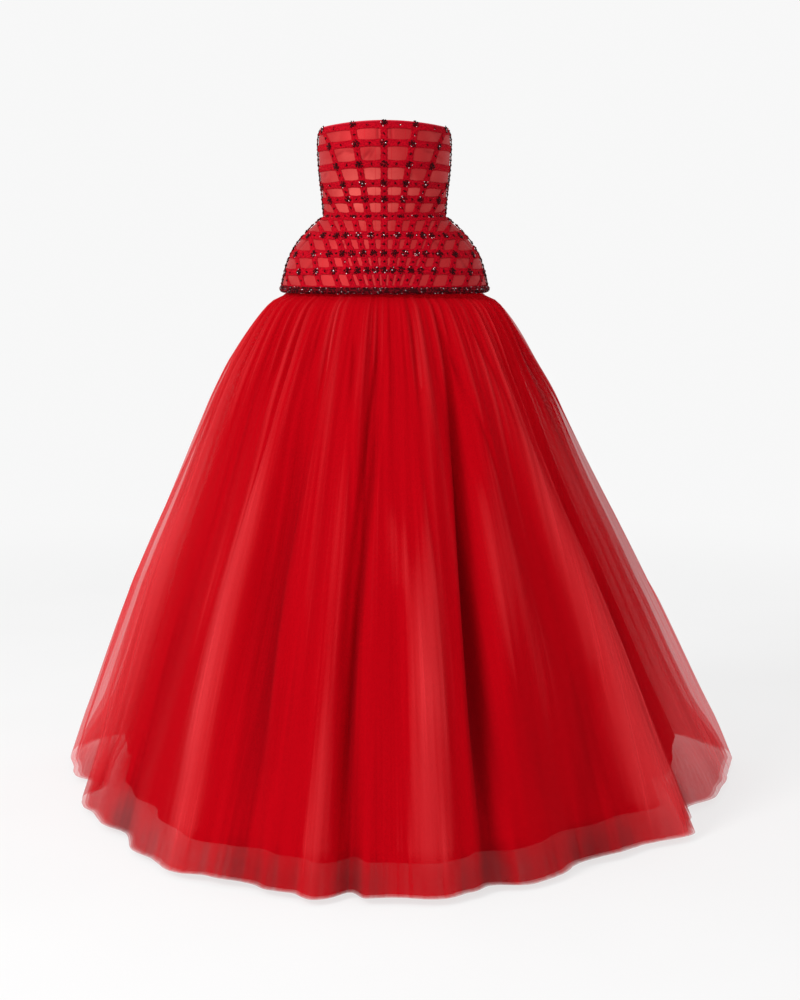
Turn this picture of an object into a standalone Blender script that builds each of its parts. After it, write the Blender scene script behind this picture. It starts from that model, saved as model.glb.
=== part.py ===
"""Strapless ball gown: a boned bodice and a flared peplum under a lattice of bands,
a beaded hem roll, a full gathered skirt of tulle and a shorter lining under it.

Metres, +Z up. The origin is the centre of the waist ring, the front faces -Y.
"""

from collections import namedtuple
from math import asin, cos, degrees, exp, hypot, pi, radians, sin

import bmesh
import bpy
from mathutils import Vector

# Driving dimensions

NECKLINE_Z = 0.185
WAIST_Z = 0.0
PEPLUM_HEM_Z = -0.140
SKIRT_TUCK_Z = -0.152
LINING_HEM_Z = -1.170
SKIRT_HEM_Z = -1.220

PANEL_WALL = 0.0020
TULLE_WALL = 0.0015
LINING_WALL = 0.0015
BAND_THICKNESS = 0.0010
SEAM_GAP = 0.0003

BAND_HALF_WIDTH = 0.0067
BAND_HALF_HEIGHT = 0.0070
SLIT_HALF_WIDTH = 0.0022
ROLL_RADIUS = 0.0066
BINDING_WIDTH = 0.0044
BINDING_HEIGHT = 0.0040
BINDING_TAPER = 0.6
ZIP_WIDTH = 0.0050
ZIP_SLOT = ZIP_WIDTH + 2 * SEAM_GAP
ZIP_TURN = 0.012
SLIDER_THICKNESS = 0.0030
SLIDER_LENGTH = 0.0090
TAB_LENGTH = 0.0170
TAB_THICKNESS = 0.0012
SLIDER_Z = 0.160

ROLL_SIDES = 6
ROLL_STATIONS = 44

CUP_RISE = 0.006
CUP_ANGLE = radians(34)
CUP_SPREAD = radians(24)
CUP_Z = 0.125
CUP_HEIGHT = 0.045

# The torso in level sections. A section is half an ellipse in front and half one behind.

Section = namedtuple("Section", "z half_width front_depth back_depth")

BODICE = (
    Section(0.000, 0.1225, 0.0920, 0.0900),
    Section(0.035, 0.1250, 0.0965, 0.0910),
    Section(0.070, 0.1292, 0.1040, 0.0930),
    Section(0.105, 0.1322, 0.1120, 0.0950),
    Section(0.145, 0.1334, 0.1160, 0.0965),
    Section(0.165, 0.1312, 0.1130, 0.0965),
    Section(0.190, 0.1235, 0.1050, 0.0950),
)

PEPLUM = (
    Section(-0.150, 0.2105, 0.1525, 0.1580),
    Section(-0.122, 0.2050, 0.1475, 0.1530),
    Section(-0.089, 0.1955, 0.1390, 0.1440),
    Section(-0.057, 0.1780, 0.1270, 0.1300),
    Section(-0.026, 0.1515, 0.1100, 0.1110),
    Section(-0.012, 0.1360, 0.1005, 0.1000),
    Section(0.000, 0.1225, 0.0920, 0.0900),
)

# How far each height of the bodice and peplum drops from the centre front to the sides

Droop = namedtuple("Droop", "height drop")

DROOPS = (
    Droop(-0.140, 0.001),
    Droop(-0.105, 0.009),
    Droop(-0.072, 0.005),
    Droop(-0.037, 0.002),
    Droop(0.000, 0.000),
    Droop(0.034, 0.004),
    Droop(0.103, 0.009),
    Droop(0.144, 0.009),
    Droop(0.185, 0.012),
)

# The lattice. Rows go round the body, lines rise from the peplum hem and fan out.

ROW_HEIGHTS = (-0.1440, -0.105, -0.072, -0.037, 0.0, 0.034, 0.065, 0.103, 0.144, 0.180)

Line = namedtuple("Line", "hem_x waist_x top_x")

FRONT_LINES = (
    Line(0.000, 0.000, 0.000),
    Line(0.011, 0.032, 0.063),
    Line(0.024, 0.061, 0.122),
    Line(0.040, 0.092, 0.190),
    Line(0.060, 0.113, 0.262),
    Line(0.088, 0.142, 0.330),
    Line(0.126, 0.172, 0.400),
    Line(0.160, 0.212, 0.470),
    Line(0.190, 0.240, 0.540),
)

BACK_LINES = (
    Line(0.000, 0.000, 0.000),
    Line(0.026, 0.043, 0.068),
    Line(0.052, 0.085, 0.130),
    Line(0.082, 0.124, 0.200),
    Line(0.122, 0.172, 0.280),
    Line(0.164, 0.222, 0.360),
)

# Round the skirt, columns of points count from the centre front towards +X.
# A gather is two columns wide. Front columns crowd towards the centre.

FRONT_COLUMN = 12
SIDE_COLUMN = 24
BACK_COLUMN = 40
FRONT_CROWDING = 0.12

# Share of the way from the tucked ring to the hem ring, at each height of the skirt

Flare = namedtuple("Flare", "z share")

FLARES = (
    Flare(SKIRT_HEM_Z, 1.000),
    Flare(-1.120, 0.925),
    Flare(-1.050, 0.868),
    Flare(-0.892, 0.745),
    Flare(-0.715, 0.600),
    Flare(-0.568, 0.472),
    Flare(-0.424, 0.350),
    Flare(-0.362, 0.295),
    Flare(-0.283, 0.212),
    Flare(-0.240, 0.165),
    Flare(-0.200, 0.114),
    Flare(-0.172, 0.066),
    Flare(-0.160, 0.018),
    Flare(SKIRT_TUCK_Z, 0.000),
)

# The hem ring in plan: radius at each angle from the centre front, +X positive

Hem = namedtuple("Hem", "angle radius")

HEM_RING = (
    Hem(-180, 0.790),
    Hem(-150, 0.810),
    Hem(-122, 0.820),
    Hem(-105, 0.700),
    Hem(-88, 0.632),
    Hem(-70, 0.610),
    Hem(-45, 0.620),
    Hem(-20, 0.650),
    Hem(0, 0.665),
    Hem(20, 0.650),
    Hem(42, 0.610),
    Hem(68, 0.630),
    Hem(88, 0.695),
    Hem(105, 0.785),
    Hem(118, 0.875),
    Hem(150, 0.810),
    Hem(180, 0.790),
)

# Large folds. Angles are at the top, middle and hem of the skirt, a positive depth is
# a ridge and a negative one a valley, and each side has its own width in degrees.

FOLD_Z = (-0.30, -0.72, SKIRT_HEM_Z)

Fold = namedtuple("Fold", "top middle hem left_width right_width top_depth middle_depth hem_depth")

FOLDS = (
    Fold(26, 21, 18.4, 4, 8, -0.016, -0.050, -0.022),
    Fold(14, 11, 9, 9, 6, 0.006, 0.016, 0.016),
    Fold(-2, -6, -5.5, 3, 3, -0.012, -0.018, -0.034),
    Fold(-8, -11, -11, 4, 4, 0.008, 0.010, 0.022),
    Fold(-24, -27, -23, 8, 4, -0.010, -0.030, -0.016),
    Fold(-33, -38, -38, 9, 8, 0.010, 0.022, 0.018),
    Fold(-52, -58, -62, 10, 10, -0.004, -0.012, -0.026),
    Fold(-72, -80, -84, 8, 7, 0.004, 0.012, 0.010),
    Fold(-86, -92, -97, 7, 8, -0.004, -0.020, -0.052),
    Fold(34, 34, 40, 8, 10, 0.008, 0.014, -0.022),
    Fold(47, 60, 67, 12, 7, 0.010, 0.030, 0.046),
    Fold(60, 73, 81, 6, 9, -0.008, -0.034, -0.032),
    Fold(92, 96, 104, 30, 30, -0.023, -0.013, 0.002),
    Fold(-94, -102, -114, 38, 40, 0.024, 0.032, 0.012),
    Fold(132, 134, 136, 12, 12, -0.008, -0.022, -0.036),
    Fold(160, 158, 157, 10, 10, 0.008, 0.018, 0.024),
    Fold(-134, -137, -139, 12, 12, -0.008, -0.022, -0.036),
    Fold(-160, -158, -156, 10, 10, 0.008, 0.018, 0.024),
)

# The skirt's depth inside the torso surface, the size of its gathers, and the room
# between tulle and lining, at each height

Layer = namedtuple("Layer", "z tuck gather lining_room")

LAYERS = (
    Layer(SKIRT_HEM_Z, 0.0150, 0.0000, 0.040),
    Layer(-0.900, 0.0150, 0.0000, 0.044),
    Layer(-0.600, 0.0150, 0.0000, 0.044),
    Layer(-0.430, 0.0150, 0.0012, 0.038),
    Layer(-0.280, 0.0150, 0.0048, 0.030),
    Layer(-0.190, 0.0150, 0.0048, 0.020),
    Layer(SKIRT_TUCK_Z, 0.0150, 0.0025, 0.012),
    Layer(-0.075, 0.0090, 0.0020, 0.008),
    Layer(0.000, 0.0052, 0.0000, 0.002),
)

LINING_BACK_ROOM = 0.070
LINING_BACK_ANGLE = radians(115)
LINING_BACK_SPREAD = radians(38)

WAIST_EDGE_Z = -0.002
TULLE_FALL = (-1.060, -0.890, -0.720, -0.550, -0.400, -0.290, -0.215, -0.178, -0.160)
LINING_FALL = (-0.930, -0.690, -0.470, -0.310, -0.200)
TULLE_LEVELS = (SKIRT_HEM_Z, *TULLE_FALL, SKIRT_TUCK_Z, -0.075, WAIST_EDGE_Z)
LINING_LEVELS = (LINING_HEM_Z, *LINING_FALL, SKIRT_TUCK_Z, WAIST_EDGE_Z)

# The closed zip runs through these heights

ZIP_LEVELS = (-0.130, -0.100, -0.060, -0.025, -0.004, 0.004, 0.060, 0.120, 0.178)

Finish = namedtuple("Finish", "colour roughness metallic")

FINISHES = {
    "corset": Finish((0.78, 0.12, 0.12), 0.55, 0.0),
    "band": Finish((0.56, 0.005, 0.03), 0.60, 0.0),
    "tulle": Finish((0.62, 0.004, 0.02), 0.70, 0.0),
    "lining": Finish((0.50, 0.002, 0.01), 0.40, 0.0),
    "beads": Finish((0.10, 0.005, 0.01), 0.15, 0.0),
    "binding": Finish((0.58, 0.005, 0.03), 0.50, 0.0),
    "zip": Finish((0.40, 0.003, 0.01), 0.35, 0.0),
}


# Reading the tables

def smooth_value(xs, ys, x):
    """Cubic curve through the points (xs, ys), with xs rising, and level past its ends."""
    if x <= xs[0]:
        return ys[0]
    if x >= xs[-1]:
        return ys[-1]
    last = len(xs) - 1
    i = next(k for k in range(last) if x <= xs[k + 1])

    def slope(k):
        low, high = max(k - 1, 0), min(k + 1, last)
        return (ys[high] - ys[low]) / (xs[high] - xs[low])

    span = xs[i + 1] - xs[i]
    t = (x - xs[i]) / span
    return (
        (1 + 2 * t) * (1 - t) ** 2 * ys[i]
        + t * (1 - t) ** 2 * span * slope(i)
        + t * t * (3 - 2 * t) * ys[i + 1]
        + t * t * (t - 1) * span * slope(i + 1)
    )


def read_table(table, column, x):
    """Value of a named column at x, along a table whose first column rises."""
    return smooth_value([row[0] for row in table], [getattr(row, column) for row in table], x)


def bump(distance, spread):
    return exp(-(distance / spread) ** 2)


# The torso

def torso_ring(angle, z):
    """Point of the torso's outer surface. The angle runs from the centre front towards +X."""
    table = BODICE if z >= WAIST_Z else PEPLUM
    depth_column = "front_depth" if cos(angle) >= 0 else "back_depth"
    x = read_table(table, "half_width", z) * sin(angle)
    y = -read_table(table, depth_column, z) * cos(angle)
    if cos(angle) > 0 and z > WAIST_Z:
        cup = bump(abs(angle) - CUP_ANGLE, CUP_SPREAD) * bump(z - CUP_Z, CUP_HEIGHT)
        y -= CUP_RISE * cup
    return Vector((x, y, z))


def level_normal(ring, angle, z, step_angle=0.01, step_z=0.002, longest=2.0):
    """Level direction out of a ring surface, as long as it takes to cross a unit of wall."""
    along = ring(angle + step_angle, z) - ring(angle - step_angle, z)
    low = min(z + step_z, NECKLINE_Z)
    up = ring(angle, low) - ring(angle, low - step_z)
    outward = along.cross(up).normalized()
    level = Vector((outward.x, outward.y, 0))
    return level / max(level.length_squared, 1 / longest**2)


def droop_height(angle, height):
    """World height of a row height: rows hang a little lower at the sides."""
    return height - read_table(DROOPS, "drop", height) * sin(angle) ** 2


def torso_place(angle, height, offset):
    """Point at an angle and row height, moved out of the torso's inner face by offset."""
    z = droop_height(angle, height)
    if height >= WAIST_Z:
        z = max(z, SEAM_GAP / 2)
    else:
        z = min(z, -SEAM_GAP / 2)
    normal = level_normal(torso_ring, angle, z)
    point = torso_ring(angle, z) + normal * (offset - PANEL_WALL)
    if abs(abs(wrap(angle - pi)) - ZIP_TURN) < 1e-5:
        point.x = -ZIP_SLOT / 2 if wrap(angle - pi) > 0 else ZIP_SLOT / 2
    return point


# The lattice in the plane of angle and height

def line_x(line, height):
    xs = (PEPLUM_HEM_Z, WAIST_Z, NECKLINE_Z)
    return smooth_value(xs, (line.hem_x, line.waist_x, line.top_x), height)


def angle_at_x(x, height):
    """Angle where the torso is x wide, running on past the side seam for a wider x."""
    table = BODICE if height >= WAIST_Z else PEPLUM
    reach = x / read_table(table, "half_width", height)
    if reach <= 1:
        return asin(reach)
    return pi / 2 + (reach - 1)


def girth_rate(angle, height):
    """Metres of cloth for each radian round the torso."""
    table = BODICE if height >= WAIST_Z else PEPLUM
    across = read_table(table, "half_width", height) * cos(angle)
    deep = read_table(table, "front_depth", height) * sin(angle)
    return hypot(across, deep)


def band_edges(lines, index, height):
    """Angles of both edges of a line's band, kept apart from the next lines by a slit."""
    centre = angle_at_x(line_x(lines[index], height), height)
    half = BAND_HALF_WIDTH / girth_rate(min(centre, pi / 2), height)
    slit = SLIT_HALF_WIDTH / girth_rate(min(centre, pi / 2), height)
    neighbours = [n for n in (index - 1, index + 1) if 0 <= n < len(lines)]
    for n in neighbours:
        other = angle_at_x(line_x(lines[n], height), height)
        half = min(half, abs(other - centre) / 2 - slit)
    return centre - half, centre + half


def crease_angle(lines, index, height):
    """Angle halfway between a line and the next, or between the last and the seam."""
    here = angle_at_x(line_x(lines[index], height), height)
    if index + 1 < len(lines):
        return (here + angle_at_x(line_x(lines[index + 1], height), height)) / 2
    return (here + pi / 2) / 2


def lattice_bands(lines, height, behind):
    """Angles of both edges of every band at a height, in the same order at every height."""
    bands = []
    for index in range(len(lines)):
        low, high = band_edges(lines, index, height)
        bands.append((low, high))
        if index:
            bands.append((-high, -low))
    return [(pi - high, pi - low) for low, high in bands] if behind else bands


def lattice_creases(lines, height, creases, behind):
    angles = [crease_angle(lines, index, height) for index in creases]
    angles += [-angle for angle in angles]
    return [pi - angle for angle in angles] if behind else angles


def row_levels(low, high):
    edges = [row + side * BAND_HALF_HEIGHT for row in ROW_HEIGHTS for side in (-1, 1)]
    return [low] + sorted(edge for edge in edges if low < edge < high) + [high]


def in_bands(point, low, high, low_bands, high_bands):
    """Whether a point of the strip between two heights lies on a row or on a line's band."""
    if any(abs(point.y - row) < BAND_HALF_HEIGHT for row in ROW_HEIGHTS):
        return True
    share = (point.y - low) / (high - low)
    for (low_start, low_end), (high_start, high_end) in zip(low_bands, high_bands):
        start = low_start + (high_start - low_start) * share
        end = low_end + (high_end - low_end) * share
        if start < point.x < end:
            return True
    return False


def lattice_sheet(lines, creases, angles, heights):
    """Flat sheet of angle and height, cut along every band edge and crease.
    Its face layer "band" marks the faces that the lattice covers."""
    sheet = bmesh.new()
    band_mark = sheet.faces.layers.int.new("band")
    behind = angles[0] > pi / 4
    levels = row_levels(*heights)
    for low, high in zip(levels, levels[1:]):
        corners = [(angles[0], low), (angles[1], low), (angles[1], high), (angles[0], high)]
        face = sheet.faces.new([sheet.verts.new((a, h, 0)) for a, h in corners])
        pieces = [*face.verts, *face.edges, face]
        low_bands = lattice_bands(lines, low, behind)
        high_bands = lattice_bands(lines, high, behind)
        low_cuts = [edge for band in low_bands for edge in band]
        high_cuts = [edge for band in high_bands for edge in band]
        low_cuts += lattice_creases(lines, low, creases, behind)
        high_cuts += lattice_creases(lines, high, creases, behind)
        for start, end in zip(low_cuts, high_cuts):
            if max(start, end) <= angles[0] or min(start, end) >= angles[1]:
                continue
            across = (high - low, start - end, 0)
            cut = bmesh.ops.bisect_plane(
                sheet, geom=pieces, dist=1e-5, plane_co=(start, low, 0), plane_no=across
            )
            pieces = cut["geom"]
        for face in (item for item in pieces if isinstance(item, bmesh.types.BMFace)):
            middle = face.calc_center_median()
            face[band_mark] = in_bands(middle, low, high, low_bands, high_bands)
    bmesh.ops.remove_doubles(sheet, verts=sheet.verts, dist=1e-5)
    return sheet


def only_bands(sheet):
    """Copy of a cut sheet that keeps the faces of the bands."""
    bands = sheet.copy()
    band_mark = bands.faces.layers.int["band"]
    cells = [face for face in bands.faces if not face[band_mark]]
    bmesh.ops.delete(bands, geom=cells, context="FACES")
    return bands


# The skirt

def column_angle(column):
    """Angle of a column of points round the skirt."""
    if abs(column) <= SIDE_COLUMN:
        share = column / SIDE_COLUMN
        return pi / 2 * (share - FRONT_CROWDING * sin(pi * share))
    turn = (abs(column) - SIDE_COLUMN) / (BACK_COLUMN - SIDE_COLUMN)
    return pi / 2 * (1 + turn) * (1 if column > 0 else -1)


def wrap(angle):
    return (angle + pi) % (2 * pi) - pi


def hem_radius(angle):
    return read_table(HEM_RING, "radius", degrees(wrap(angle)))


def skirt_ring(angle, z):
    """Point of the skirt's smooth outer form, before its folds and gathers."""
    tuck = read_table(LAYERS, "tuck", z)
    upper_z = max(z, SKIRT_TUCK_Z)
    upper = torso_ring(angle, upper_z) - level_normal(torso_ring, angle, upper_z) * tuck
    radius = hem_radius(angle)
    hem = Vector((radius * sin(angle), -radius * cos(angle), z))
    point = upper.lerp(hem, read_table(FLARES, "share", z)) if z < SKIRT_TUCK_Z else upper
    point.z = z
    return point


def fold_depth(angle, z):
    """Sum of the large folds at a point. Each swings a little on its way to the hem."""
    depth = 0.0
    heights = FOLD_Z[::-1]
    for fold in FOLDS:
        middle = smooth_value(heights, (fold.hem, fold.middle, fold.top), z)
        away = degrees(wrap(angle - radians(middle)))
        width = fold.right_width if away > 0 else fold.left_width
        if abs(away) < width:
            size = smooth_value(heights, (fold.hem_depth, fold.middle_depth, fold.top_depth), z)
            depth += size * (1 + cos(pi * away / width)) / 2
    fade = min(1.0, max(0.0, (SKIRT_TUCK_Z - z) / (SKIRT_TUCK_Z - FOLD_Z[0])))
    return depth * fade


def seam_shift(ring, angle, z, side, step_angle=0.01):
    """Level step along a ring, half a seam gap long, away from a seam."""
    along = ring(angle + step_angle, z) - ring(angle - step_angle, z)
    return along.normalized() * side * SEAM_GAP / 2


def skirt_place(columns, inside, wall):
    """Placing function of a skirt piece. inside is 0 for tulle and 1 for the lining."""

    def place(column, z, offset):
        angle = column_angle(column)
        outward = level_normal(skirt_ring, angle, z)
        unit = outward.normalized()
        gather = read_table(LAYERS, "gather", z) * cos(pi * column) * (1 - inside)
        point = skirt_ring(angle, z) + unit * (fold_depth(angle, z) + gather)
        if inside:
            room = read_table(LAYERS, "lining_room", z)
            flare = read_table(FLARES, "share", z)
            back = bump(abs(wrap(angle)) - LINING_BACK_ANGLE, LINING_BACK_SPREAD)
            point -= unit * (room + LINING_BACK_ROOM * back * flare)
        point += outward * (offset - wall)
        side = (column == columns[0]) - (column == columns[1])
        return point + seam_shift(skirt_ring, angle, z, side)

    return place


def grid_sheet(columns, step, levels):
    """Flat sheet of column and height, in even columns and given levels."""
    count = (columns[1] - columns[0]) // step
    sheet = bmesh.new()
    rows = [
        [sheet.verts.new((columns[0] + step * i, level, 0)) for i in range(count + 1)]
        for level in levels
    ]
    for lower, upper in zip(rows, rows[1:]):
        for i in range(count):
            sheet.faces.new((lower[i], lower[i + 1], upper[i + 1], upper[i]))
    return sheet


# Cloth walls

def cloth_wall(name, sheet, place, inner, outer, finish):
    """Closed wall made from a flat sheet: two skins placed at two offsets, joined at the rim."""
    bmesh.ops.triangulate(sheet, faces=sheet.faces)
    front_verts = list(sheet.verts)
    rim = [edge for edge in sheet.edges if edge.is_boundary]
    copy = bmesh.ops.duplicate(sheet, geom=[*sheet.verts, *sheet.edges, *sheet.faces])
    back_faces = [item for item in copy["geom"] if isinstance(item, bmesh.types.BMFace)]
    bmesh.ops.reverse_faces(sheet, faces=back_faces)
    partner = {vert: copy["vert_map"][vert] for vert in front_verts}
    for edge in rim:
        loop = edge.link_loops[0]
        start, end = loop.vert, loop.link_loop_next.vert
        sheet.faces.new((end, start, partner[start], partner[end]))
    for vert in front_verts:
        across, height = vert.co.x, vert.co.y
        vert.co = place(across, height, outer)
        partner[vert].co = place(across, height, inner)
    bmesh.ops.triangulate(sheet, faces=sheet.faces)
    bmesh.ops.recalc_face_normals(sheet, faces=sheet.faces)
    return add_object(name, sheet, finish)


def add_object(name, mesh_data, finish):
    mesh = bpy.data.meshes.new(name)
    mesh_data.to_mesh(mesh)
    mesh_data.free()
    mesh.shade_smooth()
    mesh.set_sharp_from_angle(angle=radians(50))
    piece = bpy.data.objects.new(name, mesh)
    piece.data.materials.append(material(finish))
    bpy.data.collections["gown"].objects.link(piece)
    return piece


def material(name):
    if name in bpy.data.materials:
        return bpy.data.materials[name]
    finish = FINISHES[name]
    made = bpy.data.materials.new(name)
    made.use_nodes = True
    shader = made.node_tree.nodes["Principled BSDF"]
    shader.inputs["Base Color"].default_value = (*finish.colour, 1)
    shader.inputs["Roughness"].default_value = finish.roughness
    shader.inputs["Metallic"].default_value = finish.metallic
    return made


# The pieces

# Left and right are the wearer's, so +X is left.

SIDE_SEAM = pi / 2
SEAM_TURN = 0.0017

PANELS = {
    "front": (-SIDE_SEAM + SEAM_TURN, SIDE_SEAM - SEAM_TURN),
    "back_left": (SIDE_SEAM + SEAM_TURN, pi - ZIP_TURN),
    "back_right": (pi + ZIP_TURN, 3 * SIDE_SEAM - SEAM_TURN),
}


# Heights of the two rings of panels, and the lines and creases that cut each

Ring = namedtuple("Ring", "name heights front_lines front_creases back_lines back_creases")

BODICE_RING = Ring(
    "bodice", (SEAM_GAP / 2, NECKLINE_Z), FRONT_LINES[:5], (0, 1, 2, 3), BACK_LINES[:4], (0, 1, 2)
)
PEPLUM_RING = Ring(
    "peplum", (PEPLUM_HEM_Z, -SEAM_GAP / 2), FRONT_LINES, (4, 5, 6, 7, 8), BACK_LINES, (2, 3, 4, 5)
)


def cuts_of(ring, panel):
    if panel == "front":
        return ring.front_lines, ring.front_creases
    return ring.back_lines, ring.back_creases


def make_torso_panels():
    """Bodice and peplum panels, each with its share of the lattice lying on it."""
    lattice_low = PANEL_WALL + SEAM_GAP
    lattice_high = lattice_low + BAND_THICKNESS
    for ring in (BODICE_RING, PEPLUM_RING):
        for panel, angles in PANELS.items():
            sheet = lattice_sheet(*cuts_of(ring, panel), angles, ring.heights)
            bands = only_bands(sheet)
            cloth_wall(f"{ring.name}_{panel}", sheet, torso_place, 0, PANEL_WALL, "corset")
            name = f"lattice_{ring.name}_{panel}"
            cloth_wall(name, bands, torso_place, lattice_low, lattice_high, "band")


def make_skirt():
    """Tulle skirt and lining, each in a front, two sides and two backs."""
    gores = {
        "front": (-FRONT_COLUMN, FRONT_COLUMN),
        "side_left": (FRONT_COLUMN, SIDE_COLUMN),
        "side_right": (-SIDE_COLUMN, -FRONT_COLUMN),
        "back_left": (SIDE_COLUMN, BACK_COLUMN),
        "back_right": (-BACK_COLUMN, -SIDE_COLUMN),
    }
    for gore, columns in gores.items():
        tulle = grid_sheet(columns, 1, TULLE_LEVELS)
        place = skirt_place(columns, 0, TULLE_WALL)
        cloth_wall(f"tulle_{gore}", tulle, place, 0, TULLE_WALL, "tulle")
        lining = grid_sheet(columns, 2, LINING_LEVELS)
        place = skirt_place(columns, 1, LINING_WALL)
        cloth_wall(f"lining_{gore}", lining, place, 0, LINING_WALL, "lining")


def swept_ring(name, angles, centre, section, finish):
    """Solid swept along a path of angles, closed when the path is a whole turn."""
    closed = abs(angles[-1] - angles[0]) > 2 * pi - 1e-6
    stations = angles[:-1] if closed else angles
    ring = bmesh.new()
    loops = []
    for angle in stations:
        middle, outward = centre(angle)
        loops.append([ring.verts.new(middle + outward * r + Vector((0, 0, h))) for r, h in section])
    count = len(section)
    pairs = list(zip(loops, loops[1:]))
    if closed:
        pairs.append((loops[-1], loops[0]))
    for here, there in pairs:
        for i in range(count):
            j = (i + 1) % count
            ring.faces.new((here[i], here[j], there[j], there[i]))
    if not closed:
        ring.faces.new(loops[0])
        ring.faces.new(loops[-1])
    bmesh.ops.triangulate(ring, faces=ring.faces)
    bmesh.ops.recalc_face_normals(ring, faces=ring.faces)
    return add_object(name, ring, finish)


def make_hem_roll():
    """Round beaded roll under the peplum's edge, one of its flat sides against it."""
    drop = SEAM_GAP + ROLL_RADIUS * cos(pi / ROLL_SIDES)
    turns = [2 * pi * i / ROLL_SIDES for i in range(ROLL_SIDES)]
    section = [(ROLL_RADIUS * cos(turn), ROLL_RADIUS * sin(turn)) for turn in turns]

    def centre(angle):
        edge = torso_place(angle, PEPLUM_HEM_Z, PANEL_WALL / 2)
        outward = level_normal(torso_ring, angle, edge.z).normalized()
        return edge - Vector((0, 0, drop)), outward

    stations = [2 * pi * i / ROLL_STATIONS for i in range(ROLL_STATIONS + 1)]
    swept_ring("hem_roll", stations, centre, section, "beads")


def neckline_angles():
    """Angles of the points along the top edges of the bodice panels, in order."""
    stations = []
    for panel, (start, end) in PANELS.items():
        lines, creases = cuts_of(BODICE_RING, panel)
        behind = panel != "front"
        angles = [edge for band in lattice_bands(lines, NECKLINE_Z, behind) for edge in band]
        angles += lattice_creases(lines, NECKLINE_Z, creases, behind)
        inside = [start] + sorted(angle for angle in angles if start < angle < end) + [end]
        turn = 2 * pi if panel == "back_right" else 0
        stations += [angle - turn for angle in inside]
    return sorted(stations)


def make_neckline_binding():
    """Narrow binding that caps the bodice's top edge, open at the centre back."""
    across, up = BINDING_WIDTH / 2, BINDING_HEIGHT
    top = across * BINDING_TAPER
    section = [(-across, 0), (across, 0), (top, up), (-top, up)]

    def centre(angle):
        edge = torso_place(angle, NECKLINE_Z, PANEL_WALL / 2)
        outward = level_normal(torso_ring, angle, edge.z).normalized()
        return edge + Vector((0, 0, SEAM_GAP)), outward

    swept_ring("neckline_binding", neckline_angles(), centre, section, "binding")


def make_zip():
    """Closed zip in the slot between the back panels, and its slider at the top."""
    chain = bmesh.new()
    loops = []
    for height in ZIP_LEVELS:
        middle = torso_ring(pi, height)
        half = ZIP_WIDTH / 2
        corners = ((-half, -PANEL_WALL), (half, -PANEL_WALL), (half, 0.0), (-half, 0.0))
        loops.append([chain.verts.new(middle + Vector((x, y, 0))) for x, y in corners])
    for lower, upper in zip(loops, loops[1:]):
        for i in range(4):
            j = (i + 1) % 4
            chain.faces.new((lower[i], lower[j], upper[j], upper[i]))
    chain.faces.new(loops[0])
    chain.faces.new(loops[-1])
    bmesh.ops.triangulate(chain, faces=chain.faces)
    bmesh.ops.recalc_face_normals(chain, faces=chain.faces)
    add_object("zip_chain", chain, "zip")
    make_slider()


def make_slider():
    """Slider with its tab hanging down, cut from one side outline."""
    back = torso_ring(pi, SLIDER_Z).y + SEAM_GAP
    tab = back + SLIDER_THICKNESS - TAB_THICKNESS
    front = back + SLIDER_THICKNESS
    top, chin, tip = SLIDER_Z, SLIDER_Z - SLIDER_LENGTH, SLIDER_Z - SLIDER_LENGTH - TAB_LENGTH
    outline = ((back, chin), (tab, chin), (tab, tip), (front, tip), (front, top), (back, top))
    slider = bmesh.new()
    left = -ZIP_WIDTH / 2
    side = slider.faces.new([slider.verts.new((left, y, z)) for y, z in outline])
    grown = bmesh.ops.extrude_face_region(slider, geom=[side])
    moved = [item for item in grown["geom"] if isinstance(item, bmesh.types.BMVert)]
    bmesh.ops.translate(slider, verts=moved, vec=(ZIP_WIDTH, 0, 0))
    bmesh.ops.recalc_face_normals(slider, faces=slider.faces)
    add_object("zip_slider", slider, "zip")


def remove_everything():
    for thing in list(bpy.data.objects):
        bpy.data.objects.remove(thing)


remove_everything()
bpy.context.scene.collection.children.link(bpy.data.collections.new("gown"))
make_torso_panels()
make_skirt()
make_hem_roll()
make_neckline_binding()
make_zip()
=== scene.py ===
from math import pi, radians
import bpy
import numpy as np
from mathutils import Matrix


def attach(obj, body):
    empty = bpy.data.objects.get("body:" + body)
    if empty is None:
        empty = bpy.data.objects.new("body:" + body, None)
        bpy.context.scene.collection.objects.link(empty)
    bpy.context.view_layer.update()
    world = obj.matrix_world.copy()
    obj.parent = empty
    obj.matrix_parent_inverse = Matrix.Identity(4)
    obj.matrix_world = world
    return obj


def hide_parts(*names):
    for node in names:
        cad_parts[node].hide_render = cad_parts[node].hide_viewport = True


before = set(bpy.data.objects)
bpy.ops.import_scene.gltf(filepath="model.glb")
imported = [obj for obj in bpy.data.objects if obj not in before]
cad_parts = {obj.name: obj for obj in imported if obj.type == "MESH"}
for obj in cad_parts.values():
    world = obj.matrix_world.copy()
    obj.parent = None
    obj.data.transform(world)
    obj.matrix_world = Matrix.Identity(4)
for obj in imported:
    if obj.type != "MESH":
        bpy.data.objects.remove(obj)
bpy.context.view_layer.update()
print("frame loaded,", len(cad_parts), "nodes")

scene = bpy.context.scene
scene.view_settings.view_transform = "Standard"  # keeps the red as deep as it is
scene.cycles.transparent_max_bounces = 24  # a look through the skirt's edge crosses many layers
scene.cycles.max_bounces = 4
scene.cycles.diffuse_bounces = 2
scene.cycles.glossy_bounces = 2


# Reading tables: rows run up, the first column is the height or angle that they are read at

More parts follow.
